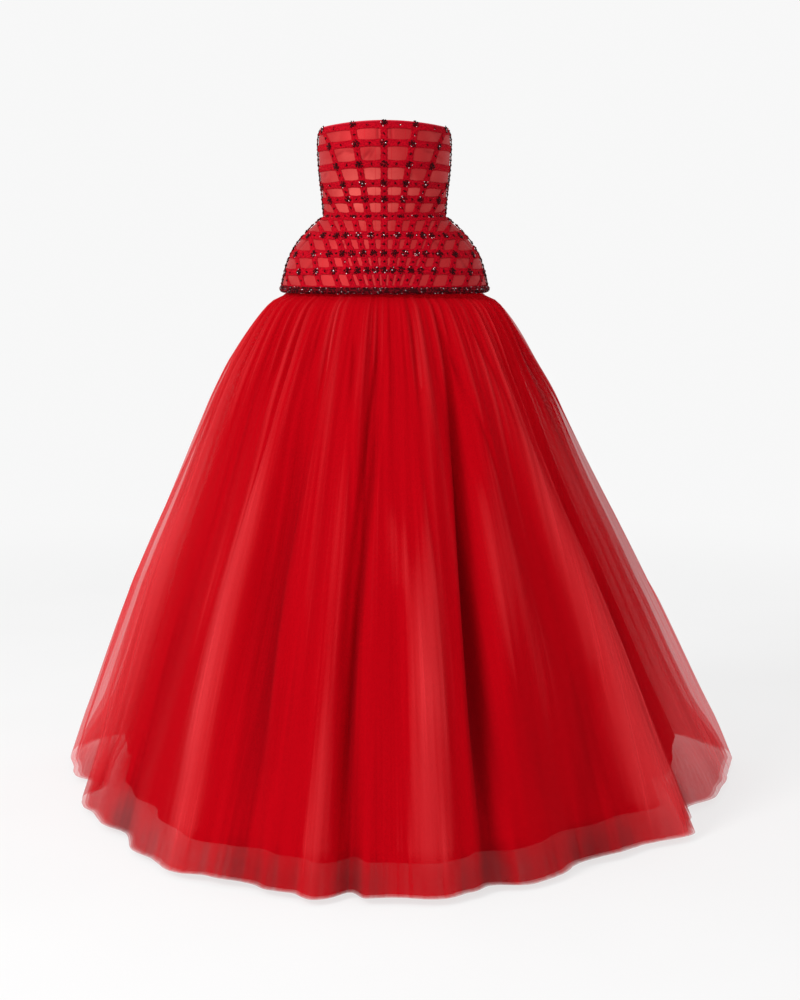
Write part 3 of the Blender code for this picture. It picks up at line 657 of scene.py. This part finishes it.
zipFinish = makeSatin("zipNylon", "zip", 0.32)
rollFinish = makeSatin("rollCloth", "rollCloth", 0.8)
beadFinishes = [
    makeBead("beadMaroon", (0.055, 0.000, 0.002, 1), (0.012, 0.000, 0.001, 1), 0.36),
    makeBead("beadRed", (0.28, 0.000, 0.008, 1), (0.12, 0.000, 0.004, 1), 0.30),
    makeBead("beadCrystal", (0.90, 0.86, 0.88, 1), (0.55, 0.46, 0.48, 1), 0.10, 0.6, 0.5, 0.3),
]
print("finishes made")


# Corset panels: bodice and peplum, each a front and two backs
panels = {  # degrees, and the CAD node's ending
    "Front": (-89.9, 89.9, "front"),
    "BackLeft": (90.1, 180 - np.degrees(torso["zipTurn"]), "back_left"),
    "BackRight": (180 + np.degrees(torso["zipTurn"]), 269.9, "back_right"),
}
ringsOfPanels = {  # heights of each ring
    "bodice": (torso["seam"] / 2, torso["neckZ"]),
    "peplum": (torso["hemZ"], -torso["seam"] / 2),
}


def torsoCloth(angle, height):  # place on the flat cut
    girth = readTable(torso["bodice"], 1, np.maximum(height, 0)) * 0.93
    hip = readTable(torso["peplum"], 1, np.minimum(height, 0)) * 0.90
    side = np.where(height >= 0, girth, hip)
    return np.stack([side * angle, height + 0 * angle], -1)


def corsetTroughs(angle, height):
    depth = np.zeros_like(angle)
    turn = wrap(angle)
    radius = torso["meanRadius"]
    for firstTurn, firstHeight, lastTurn, lastHeight, width, size in corset["creases"]:
        x, y = radius * (turn - radians(firstTurn)), height - firstHeight
        alongX, alongY = radius * radians(lastTurn - firstTurn), lastHeight - firstHeight
        share = np.clip((x * alongX + y * alongY) / (alongX**2 + alongY**2), 0, 1)
        away = np.hypot(x - share * alongX, y - share * alongY)
        depth = np.maximum(depth, size * np.sin(pi * (0.12 + 0.76 * share)) * bump(away, width))
    return depth


for ring, (low, high) in ringsOfPanels.items():
    for panel, (start, end, node) in panels.items():
        count = corset["columns"] if panel == "Front" else corset["columns"] // 2
        turns = np.radians(np.linspace(start, end, count))
        angle, height = np.meshgrid(turns, np.linspace(low, high, corset["rows"]))
        troughs = corsetTroughs(angle, height)
        outer = onTorso(angle, height, torso["wall"] - troughs)
        inner = onTorso(angle, height, 0.0)
        name = ring + panel
        piece = addShell(name, outer, inner, torsoCloth(angle, height), corsetFinish)
        # crease values: the trough depth, which paints shade into the creases
        addValues(piece, "crease", np.concatenate([(troughs / 0.0014).ravel(), np.zeros(troughs.size)]))
        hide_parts(ring + "_" + node)
        clothSize(outer)
print("corset panels made")


# The lattice: lines rise and fan out from the peplum's hem, rows go round
lattice = {
    "rows": (-0.1440, -0.105, -0.072, -0.037, 0.0, 0.034, 0.065, 0.103, 0.144, 0.180),
    "frontLines": [  # x at the peplum's hem, at the waist and at the neckline
        (0, 0, 0), (0.011, 0.032, 0.063), (0.024, 0.061, 0.122), (0.04, 0.092, 0.19),
        (0.06, 0.113, 0.262), (0.088, 0.142, 0.33), (0.126, 0.172, 0.4), (0.16, 0.212, 0.47),
        (0.19, 0.24, 0.54),
    ],
    "backLines": [
        (0, 0, 0), (0.026, 0.043, 0.068), (0.052, 0.085, 0.13), (0.082, 0.124, 0.2),
        (0.122, 0.172, 0.28), (0.164, 0.222, 0.36),
    ],
    "halfWidth": 0.0067,
    "halfHeight": 0.0070,
    "slit": 0.0022,
    "lift": 0.0023,
    "lineThickness": 0.0009,
    "rowThickness": 0.0012,
    "rowColumns": 190,
    "lineRows": 70,
    "crossing": {"swell": 0.22, "spread": 0.010},
    "profile": [  # of half a tape: share of its half width, share of its thickness
        (0, 0.95), (0.5, 1.05), (0.88, 1), (0.97, 0.7), (1, 0),
    ],
}
halfTape = np.array(lattice["profile"])
tapeAcross = np.concatenate([-halfTape[:0:-1, 0], halfTape[:, 0]])
tapeRise = np.concatenate([halfTape[:0:-1, 1], halfTape[:, 1]])


def lineX(line, height):
    heights = (torso["hemZ"], 0.0, torso["neckZ"])
    return readTable(list(zip(heights, line)), 1, height)


def angleAtX(x, height):
    reach = x / torsoSize(1, height)
    return np.where(reach <= 1, np.arcsin(np.clip(reach, -1, 1)), pi / 2 + reach - 1)


def girthRate(angle, height):  # metres a radian
    return np.hypot(torsoSize(1, height) * np.cos(angle), torsoSize(2, height) * np.sin(angle))


def bandEdges(lines, index, height):
    centre = angleAtX(lineX(lines[index], height), height)
    rate = girthRate(np.minimum(centre, pi / 2), height)
    half = lattice["halfWidth"] / rate
    for other in (index - 1, index + 1):
        if 0 <= other < len(lines):
            apart = np.abs(angleAtX(lineX(lines[other], height), height) - centre)
            half = np.minimum(half, apart / 2 - lattice["slit"] / rate)
    return centre, half


def linesOf(panel):  # every line of a panel: its index, its side and whether it is behind
    lines = lattice["frontLines"] if panel == "Front" else lattice["backLines"]
    behind = panel != "Front"
    for index in range(len(lines)):
        if behind:
            sides = (1,) if panel == "BackLeft" else (-1,)
        else:
            sides = (1, -1) if index else (1,)
        for side in sides:
            yield lines, index, side, behind


def lineAngle(offset, side, behind):
    return pi - side * offset if behind else side * offset


def panelLimits(panel):
    start, end, _ = panels[panel]
    return radians(start), radians(end)


def crossingSwell(away):  # bands are drawn together by the beads at a crossing and spread beside it
    return 1 + lattice["crossing"]["swell"] * bump(away, lattice["crossing"]["spread"])


def lineRibbon(lines, index, side, behind, panel, low, high):
    heights = np.linspace(low, high, lattice["lineRows"])
    centre, half = bandEdges(lines, index, heights)
    nearest = np.abs(heights[:, None] - np.array(lattice["rows"])[None]).min(1)
    half = half * crossingSwell(nearest) * (1 + 0.05 * np.sin(heights * 690 + 2.3 * index + side))
    keep = centre - half < pi / 2 - 0.002
    heights, centre, half = heights[keep], centre[keep], half[keep]
    if len(heights) < 4:
        return None
    height, across = np.meshgrid(heights, tapeAcross, indexing="ij")
    angle = lineAngle(centre[:, None] + half[:, None] * across, side, behind)
    offset = lattice["lift"] + tapeRise * lattice["lineThickness"]
    points = onTorso(np.clip(angle, *panelLimits(panel)), height, offset[None])
    return points, np.stack([height + index * 0.37 + side, across], -1)


def rowRibbon(row, panel):
    count = lattice["rowColumns"] if panel == "Front" else lattice["rowColumns"] // 2
    angle, across = np.meshgrid(np.linspace(*panelLimits(panel), count), tapeAcross)
    crossings = []
    for lines, index, side, behind in linesOf(panel):
        centre, _ = bandEdges(lines, index, np.array([row]))
        crossings.append(lineAngle(centre[0], side, behind))
    nearest = np.abs(angle[0][:, None] - np.array(crossings)[None]).min(1) * girthRate(0.6, np.array(row))
    swell = crossingSwell(np.maximum(nearest - 0.004, 0))
    height = np.clip(row + lattice["halfHeight"] * across * swell[None], torso["hemZ"], torso["neckZ"])
    offset = lattice["lift"] + tapeRise * lattice["rowThickness"]
    points = onTorso(angle, height, np.repeat(offset[:, None], count, 1))
    return points, np.stack([angle * torso["meanRadius"] + row * 3, across], -1)


def joinGrids(name, grids, finish):
    faces, count = [], 0
    for points, _ in grids:
        faces.append(gridFaces(*points.shape[:2]) + count)
        count += points.shape[0] * points.shape[1]
    points = np.concatenate([points.reshape(-1, 3) for points, _ in grids])
    cloth = np.concatenate([cloth.reshape(-1, 2) for _, cloth in grids])
    return addMesh(name, points, np.concatenate(faces), [finish], cloth)


for ring, (low, high) in ringsOfPanels.items():
    for panel, (_, _, node) in panels.items():
        grids = []
        for lines, index, side, behind in linesOf(panel):
            ribbon = lineRibbon(lines, index, side, behind, panel, low, high)
            if ribbon:
                grids.append(ribbon)
        for row in lattice["rows"]:
            if (row > -0.001) == (ring == "bodice"):
                grids.append(rowRibbon(row, panel))
        name = "lattice" + ring.capitalize() + panel
        piece = joinGrids(name, grids, bandFinish)
        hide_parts("lattice_" + ring + "_" + node)
        ring + panel
print("lattice made")


# Beads: joined meshes of small turned shapes
beads = {
    "seed": 7,
    "clusterRadius": 0.0066,
    "centre": (0.0023, 0.0017, 0.0023),  # half sizes across, outwards and along an arm of a cluster
    "rings": [  # round it: beads, turn of the first, play, nearest and farthest, rise, half sizes,
        # smallest and largest, long or round, share of crystals and of reds
        (6, 0.0, 0.16, 0.46, 0.56, 0.0, (0.0014, 0.0012, 0.0021), 0.85, 1.15, "long", 0.06, 0.10),
        (9, 0.5, 0.25, 0.80, 1.10, -0.0002, (0.0017, 0.0012, 0.0017), 0.7, 1.2, "round", 0.11, 0.12),
    ],
    "crystalScale": 0.66,
    "sideGap": 0.0066,
    "bunchGap": 0.0105,
    "roll": {"radius": 0.0066, "core": (0.0056, 0.0056), "ring": 0.0062, "girth": 1.17},
    "rollBead": {"size": (0.0017, 0.0017, 0.0015), "pitch": 0.0031, "rows": 8},
    "binding": {"size": (0.0023, 0.0021), "rise": 0.0016},
}
rng = np.random.default_rng(beads["seed"])


def beadShape(rings, sides, pinch):  # a small ball, longer or flatter when it is placed
    turns = np.linspace(0, 2 * pi, sides, endpoint=False)
    points = [(0, 0, 1)]
    for ring in range(1, rings):
        tilt = pi * ring / rings
        width = np.sin(tilt) ** pinch
        points += [(width * np.cos(turn), width * np.sin(turn), np.cos(tilt)) for turn in turns]
    points.append((0, 0, -1))
    faces = []
    last = len(points) - 1
    for side in range(sides):
        after = (side + 1) % sides
        faces.append((0, 1 + side, 1 + after))
        faces.append((last, last - sides + after, last - sides + side))
        for ring in range(rings - 2):
            base = 1 + ring * sides
            faces.append((base + side, base + sides + side, base + sides + after))
            faces.append((base + side, base + sides + after, base + after))
    return np.array(points, float), np.array(faces)


beadShapes = {
    "round": beadShape(4, 7, 1.0),
    "tiny": beadShape(3, 6, 0.8),
    "long": beadShape(4, 6, 0.6),
}


class BeadTray:  # collects beads, then pours them into one mesh
    def __init__(self):
        self.points, self.faces, self.finishes, self.count = [], [], [], 0

    def add(self, shape, origin, axes, sizes, finish):
        corners, faces = beadShapes[shape]
        small = beads["crystalScale"]
        finish = np.broadcast_to(finish, len(origin))
        scaled = corners[None] * sizes[:, None, :] * np.where(finish == 2, small, 1.0)[:, None, None]
        world = origin[:, None, :] + np.einsum("bpi,bij->bpj", scaled, axes)
        starts = self.count + np.arange(len(origin)) * len(corners)
        self.points.append(world.reshape(-1, 3))
        self.faces.append((faces[None] + starts[:, None, None]).reshape(-1, 3))
        self.finishes.append(np.repeat(finish, len(faces)))
        self.count += len(origin) * len(corners)

    def pour(self, name, finishes):
        piece = addMesh(name, np.concatenate(self.points), np.concatenate(self.faces), finishes)
        piece.data.polygons.foreach_set("material_index", np.concatenate(self.finishes).astype(np.int32))
        return piece


def pickFinish(count, crystal, red):
    draw = rng.random(count)
    return np.where(draw < crystal, 2, np.where(draw < crystal + red, 1, 0))


def varied(size, count, low, high):  # count times a size, each one scaled
    return np.repeat([size], count, 0) * rng.uniform(low, high, (count, 1))


def addClusters(tray, angle, height, spread, lift=0.0044):
    origin, across, up, out = torsoFrames(angle, height, lift)
    count = len(angle)
    jitter = rng.random(count) * 2 * pi

    def place(turn, radius, rise, sizes, shape, finish):
        radial = across * np.cos(turn)[:, None] + up * np.sin(turn)[:, None]
        axes = np.stack([np.cross(out, radial), out, radial], 1)
        tray.add(shape, origin + radial * radius[:, None] + out * rise, axes, sizes, finish)

    sizes = varied(beads["centre"], count, 0.85, 1.15)
    place(jitter, np.zeros(count), 0.0004, sizes, "round", pickFinish(count, 0.14, 0.1))
    for total, first, play, near, far, rise, size, least, most, shape, crystal, red in beads["rings"]:
        for arm in range(total):
            turn = jitter + (arm + first) * 2 * pi / total + rng.uniform(-play, play, count)
            radius = spread * rng.uniform(near, far, count)
            sizes = varied(size, count, least, most)
            place(turn, radius, rise, sizes, shape, pickFinish(count, crystal, red))


def addSingles(tray, angle, height, scale=1.0, red=0.10, lift=0.0042):  # a bead between two smaller ones
    origin, across, up, out = torsoFrames(angle, height, lift)
    count = len(angle)
    for shift, size in scale * np.array([(0.0, 0.0017), (0.0025, 0.0010), (-0.0025, 0.0010)]):
        turn = rng.random(count) * pi
        radial = across * np.cos(turn)[:, None] + up * np.sin(turn)[:, None]
        sizes = varied([size, size * 0.85, size], count, 0.85, 1.2)
        axes = np.stack([across, out, up], 1)
        tray.add("tiny", origin + radial * shift, axes, sizes, pickFinish(count, 0.03, red))


def linePlaces(panel, heights):  # angle, height and half width where a panel's lines cross the heights
    found = []
    start, end = panelLimits(panel)
    for lines, index, side, behind in linesOf(panel):
        if behind and index == 0:
            continue
        centre, half = bandEdges(lines, index, heights)
        for height, middle, width in zip(heights, centre, half):
            angle = lineAngle(middle, side, behind)
            if middle < pi / 2 - 0.02 and start < angle < end:
                found.append((angle, height, float(width * girthRate(middle, height))))
    return np.array(found).T


rowsOf = {
    "bodice": [row for row in lattice["rows"] if row > -0.001],
    "peplum": [row for row in lattice["rows"][1:] if row < -0.001],
}
for ring in ringsOfPanels:
    for panel in panels:
        tray = BeadTray()
        rows = np.array(rowsOf[ring])
        angles, heights, widths = linePlaces(panel, rows)
        spreads = np.minimum(beads["clusterRadius"], widths + 0.0022)
        addClusters(tray, angles, heights + np.where(heights > 0.17, 0.0035, 0), spreads)
        between = (rows[:-1] + rows[1:]) / 2
        if ring == "peplum":
            between = np.append(between, [(rows[0] + lattice["rows"][0]) / 2, rows[-1] / 2])
        addSingles(tray, *linePlaces(panel, np.sort(between))[:2])
        halfway = []  # between two lines on a row
        for row in rows:
            here = np.sort(angles[heights == row])
            halfway += [((a + b) / 2, row) for a, b in zip(here, here[1:]) if b - a > 0.16]
        addSingles(tray, *np.array(halfway).reshape(-1, 2).T)
        for side in (start for start in panelLimits(panel) if abs(abs(wrap(start)) - pi / 2) < 0.1):
            low, high = ringsOfPanels[ring]
            steps = np.arange(low + 0.003, high - 0.001, beads["sideGap"])
            inward = np.sign(wrap(side)) * (1 if abs(wrap(side)) < pi / 2 else -1)
            wobble = rng.uniform(-0.022, 0.022, len(steps))
            places = steps + rng.uniform(-0.0015, 0.0015, len(steps))
            addSingles(tray, side - inward * 0.075 + wobble, places, 1.2, 0.45)
            bunches = np.arange(low + 0.006, high - 0.004, beads["bunchGap"])
            wobble = rng.uniform(-0.012, 0.012, len(bunches))
            spreads = rng.uniform(0.0028, 0.0046, len(bunches))
            addClusters(tray, side - inward * 0.026 + wobble, bunches, spreads)
        tray.pour("beads" + ring.capitalize() + panel, beadFinishes)
        ring + panel
print("beads sewn on")


# Beaded roll under the peplum's hem, and narrow binding on the top edge
def edgeCentre(angle, height, rise):
    edge = onTorso(angle, height, torso["wall"] / 2)
    return edge + np.array([0, 0, rise]), unit(levelNormal(torsoPoint, angle, edge[..., 2]))


def ringTube(name, angles, height, rise, size, finish):
    middle, out = edgeCentre(angles, height, rise)
    turns = np.linspace(0, 2 * pi, 16, endpoint=False)
    points = middle[:, None, :] + out[:, None, :] * (size[0] * np.cos(turns))[None, :, None]
    points = points + np.array([0, 0, 1.0]) * (size[1] * np.sin(turns))[None, :, None]
    points = np.concatenate([points, points[:, :1]], 1)
    along, turn = np.meshgrid(angles * 0.18, np.linspace(-1, 1, points.shape[1]), indexing="ij")
    return addCloth(name, points, np.stack([along, turn], -1), finish)


roll, bead = beads["roll"], beads["rollBead"]
rollDrop = -torso["seam"] - roll["radius"] * np.cos(pi / 6)
rollAngles = np.linspace(0, 2 * pi, 241)
core = ringTube("hemRollCore", rollAngles, torso["hemZ"], rollDrop, roll["core"], rollFinish)
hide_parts("hem_roll")
tray = BeadTray()
for k in range(bead["rows"]):
    tilt = radians(-112 + 214 * k / (bead["rows"] - 1))
    count = int(roll["girth"] / bead["pitch"])
    angle = (np.arange(count) + 0.5 * (k % 2) + rng.uniform(-0.18, 0.18, count)) * 2 * pi / count
    middle, out = edgeCentre(angle, torso["hemZ"], rollDrop)
    up = np.repeat([[0.0, 0.0, 1.0]], count, 0)
    away = out * np.cos(tilt) + up * np.sin(tilt)
    origin = middle + away * (roll["ring"] + rng.uniform(-0.0003, 0.0004, count))[:, None]
    axes = np.stack([np.cross(away, np.cross(out, up)), np.cross(out, up), away], 1)
    sizes = varied(bead["size"], count, 0.75, 1.15)
    tray.add("tiny", origin, axes, sizes, pickFinish(count, 0.09, 0.42))
tray.pour("hemRollBeads", beadFinishes)

edging = beads["binding"]
neckAngles = np.linspace(-pi + torso["zipTurn"], pi - torso["zipTurn"], 241)
binding = ringTube(
    "necklineBinding", neckAngles, torso["neckZ"], edging["rise"], edging["size"], bindingFinish
)
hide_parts("neckline_binding")
print("hem roll and binding made")


# Zip at the centre back: two tapes, a coil of teeth and a slider with its tab
zipParts = {
    "low": -0.130,
    "high": 0.178,
    "pitch": 0.0016,
    "toothSize": (0.0015, 0.0009, 0.0005),
    "tape": {"half": 0.0024, "inward": 0.0014, "rows": 90},
    "sliderZ": 0.1555,
    "slider": {  # maker, its sizes, scale, turn, and how far behind and above sliderZ it stands
        "Body": (
            bpy.ops.mesh.primitive_cube_add,
            {"size": 1},
            (0.0048, 0.0016, 0.0088),
            (0, 0, 0),
            (0.0012, 0),
        ),
        "Bridge": (
            bpy.ops.mesh.primitive_torus_add,
            {"major_radius": 0.0016, "minor_radius": 0.0005, "major_segments": 24, "minor_segments": 10},
            (1, 1, 1),
            (0, pi / 2, 0),
            (0.0022, -0.001),
        ),
        "Tab": (
            bpy.ops.mesh.primitive_cylinder_add,
            {"radius": 0.0022, "depth": 0.0009, "vertices": 28},
            (1, 3.6, 1),
            (pi / 2, 0, 0),
            (0.0026, -0.011),
        ),
    },
    "bevel": 0.0003,
}


def zipLine(height):
    return torsoPoint(np.full_like(height, pi), height)


strip = zipParts["tape"]
tapeHeights = np.linspace(zipParts["low"], zipParts["high"], strip["rows"])
tapeX = np.linspace(-strip["half"], strip["half"], 7)
tape = np.repeat(zipLine(tapeHeights)[:, None, :], len(tapeX), 1)
tape[..., 0] += tapeX
tape[..., 1] -= strip["inward"]
tapeCloth = np.stack(np.meshgrid(tapeHeights, tapeX / strip["half"], indexing="ij"), -1)
addCloth("zipTape", tape, tapeCloth, bandFinish)
tray = BeadTray()
teeth = np.arange(zipParts["low"] + 0.002, zipParts["high"] - 0.002, zipParts["pitch"])
for side in (-1, 1):
    origin = zipLine(teeth + 0.0004 * side) + np.array([side * 0.0007, -0.0006, 0])
    axes = np.repeat(np.eye(3)[None], len(teeth), 0)
    tray.add("long", origin, axes, np.repeat([zipParts["toothSize"]], len(teeth), 0), 0)
zipTeeth = tray.pour("zipTeeth", [zipFinish])
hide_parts("zip_chain")


def addSlider():
    back = float(torsoPoint(np.array([pi]), np.array([zipParts["sliderZ"]]))[0, 1])
    parts = []
    for name, (make, sizes, scale, turn, (behind, above)) in zipParts["slider"].items():
        make(**sizes)
        part = bpy.context.object
        part.name = "zipSlider" + name
        part.scale, part.rotation_euler = scale, turn
        part.location = (0, back + behind, zipParts["sliderZ"] + above)
        if name != "Bridge":  # a round loop has no edges
            bevel = part.modifiers.new("edges", "BEVEL")
            bevel.width = zipParts["bevel"]
            bevel.segments = 3
        part.data.shade_smooth()
        part.data.materials.append(zipFinish)
        parts.append(part)
    bpy.context.view_layer.update()
    for part in parts:
        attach(part, "root")
    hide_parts("zip_slider")


addSlider()
print("zip made")


# Skirt cloth
# Paints shade and highlight into the fold values: painted shade in troughs and towards the hem, painted
# highlight on ridges and, by lift, where a layer stands off. Net stacks denser in troughs, so part of that
# darkening is real and the rest is painted shade.
def paintFoldShade(piece, angle, z, phase, strength, lift=0.0):  # 0 deep in a fold, 0.5 plain, 1 on a ridge
    paintedShading = skirt["paintedShading"]
    depth = largeFolds(angle, z) + paintedShading["creases"] * fineCreases(angle, z)
    depth = depth + paintedShading["gathers"] * gatherWaves(angle, z, phase)
    tone = 0.5 + strength * np.clip(depth / np.where(depth < 0, paintedShading["trough"], paintedShading["ridge"]), -1, 1) / 2
    # painted shade towards the hem
    dark, top, low = paintedShading["hem"]
    addValues(piece, "fold", tone + lift - dark * easeIn(-z, top, low))


def skirtRows(hemZ, count):  # rows crowd towards the gathers at the top
    share = np.linspace(0, 1, count)
    fall = skirt["tuckZ"] + (hemZ - skirt["tuckZ"]) * (0.45 * share + 0.55 * share**1.8)
    return np.concatenate([fall[::-1], np.linspace(skirt["tuckZ"], skirt["waistZ"], 5)[1:]])


def underCover(degrees, z):  # the under layer thins out towards the sides and the hem
    fade = skirt["coverFade"]
    sides = 1 - easeIn(np.abs(degrees), *fade["sides"])
    rightLoss, *right = fade["hemRight"]
    leftLoss, *left = fade["hemLeft"]
    hem = fade["hem"] - rightLoss * easeIn(-degrees, *right) - leftLoss * easeIn(degrees, *left)
    return sides * (1 - (1 - hem) * easeIn(-z, *fade["low"]))


def addGore(name, points, angle, z, finish):
    return addCloth(name, points, np.stack([angle * 0.66, z * 1.12], -1), finish)


def hang(points):
    flat, area = clothSize(points)


loose, meeting = skirt["looseSides"], skirt["meeting"]
for layer, (inset, looser, phase, rise, _, density) in skirt["layers"].items():
    for gore, (start, end, node) in skirt["gores"].items():
        if layer == "under" and gore.startswith("Back"):
            continue
        angles = np.radians(np.linspace(start, end, round((end - start) * density)))
        angle, z = np.meshgrid(angles, skirtRows(skirt["hemZ"] + rise, 56))
        sway = 0.0014 * np.sin(9 * angle) + 0.0010 * np.sin(23 * angle + 1.0)
        lift = (sway + 0.0024) * easeLinear(-z, 1.05, -skirt["hemZ"])
        apart = bump(np.abs(angle) - loose["angle"], loose["spread"])
        apart = apart * easeLinear(-z, loose["top"], loose["low"])
        together = 1 - meeting["share"] * easeIn(-z, meeting["top"], meeting["low"])
        points = onSkirt(angle, z + lift, (inset + looser * apart) * together, phase)
        name = "tulle" + layer.capitalize() + gore
        piece = addGore(name, points, angle, z, tulleFinishes[layer])
        # the loose sides get painted highlight
        paintFoldShade(piece, angle, z, phase, 1.0, apart * skirt["paintedShading"]["standsOffHighlight"][layer])
        cover = underCover(np.degrees(angle), z) if layer == "under" else np.ones_like(z)
        addValues(piece, "cover", cover)
        if layer == "outer":
            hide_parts("tulle_" + node)
        hang(points)

for gore, (start, end, node) in skirt["gores"].items():
    angles = np.radians(np.linspace(start, end, round((end - start) * 1.2)))
    angle, z = np.meshgrid(angles, skirtRows(skirt["liningHemZ"], 50))
    points = onSkirt(angle, z, lining=True)
    piece = addGore("lining" + gore, points, angle, z, liningFinish)
    paintFoldShade(piece, angle, z, 0.0, 0.9)
    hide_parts("lining_" + node)
    hang(points)
print("skirt made")


# Studio: pale sweep, soft key from the upper left, gentle fill
studio = {
    "floorZ": -1.232,
    "sweep": {"radius": 10.0, "curve": 2.0, "top": 3.4},
    "camera": {"place": (0.0316, -4.30, 0.01964), "tilt": radians(82), "lens": 75.24},
    "key": {"place": (-2.8, -3.1, 2.35), "size": 1.5, "power": 185},
    "top": {"place": (-0.8, 0.6, 3.6), "size": 3.0, "power": 36},
    "aimZ": -0.45,
    "sky": 0.46,
    "glows": (0.715, 0.935),  # of the paper below the gown, which takes its shadow, and far away
}


def addSweep():  # runs all round, so the gown has paper behind it from any side
    radius, curve, low = studio["sweep"]["radius"], studio["sweep"]["curve"], studio["floorZ"]
    profile = [(reach, low) for reach in (0, 1.2, 2.2, 2.6, 3.0, 3.4, 3.8, 4.2, 6, radius - curve)]
    for turn in np.linspace(0, pi / 2, 20)[1:]:
        profile.append((radius - curve * (1 - np.sin(turn)), low + curve * (1 - np.cos(turn))))
    profile.append((radius, studio["sweep"]["top"]))
    reach, rise = np.array(profile).T
    around = np.linspace(0, 2 * pi, 97)
    points = np.stack([reach[:, None] * np.sin(around), -reach[:, None] * np.cos(around)], -1)
    points = np.concatenate([points, np.repeat(rise[:, None, None], len(around), 1)], -1)
    mesh = bpy.data.meshes.new("sweep")
    mesh.from_pydata(points.reshape(-1, 3).tolist(), [], gridFaces(*points.shape[:2]).tolist())
    mesh.shade_smooth()
    mesh.materials.append(makePaper())
    piece = makeObject("sweep", mesh)
    addValues(piece, "far", np.repeat(easeIn(reach, 2.2, 4.2)[:, None], len(around), 1))


def addLight(name):
    facts = studio[name]
    light = bpy.data.lights.new(name, "AREA")
    light.shape = "DISK"
    light.size = facts["size"]
    light.energy = facts["power"]
    lamp = makeObject(name + "Light", light)
    lamp.location = facts["place"]
    target = makeObject(name + "Aim", None)
    target.location = (0, 0, studio["aimZ"])
    lamp.constraints.new("TRACK_TO").target = target


addSweep()
for name in ("key", "top"):
    addLight(name)
world = bpy.data.worlds.new("studio")
world.use_nodes = True
sky = world.node_tree.nodes["Background"].inputs
sky["Color"].default_value = grey(1)
sky["Strength"].default_value = studio["sky"]
scene.world = world

view = studio["camera"]
camera = makeObject("camera", bpy.data.cameras.new("camera"))
camera.location = view["place"]
camera.rotation_euler = (view["tilt"], 0, 0)
camera.data.lens = view["lens"]
camera.data.sensor_width = 36
scene.camera = camera
print("studio set")

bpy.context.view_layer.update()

added = [piece for piece in scene.objects if piece.type == "MESH" and not piece.hide_render]
triangles = sum(sum(len(face.vertices) - 2 for face in piece.data.polygons) for piece in added)
print("triangles:", triangles)
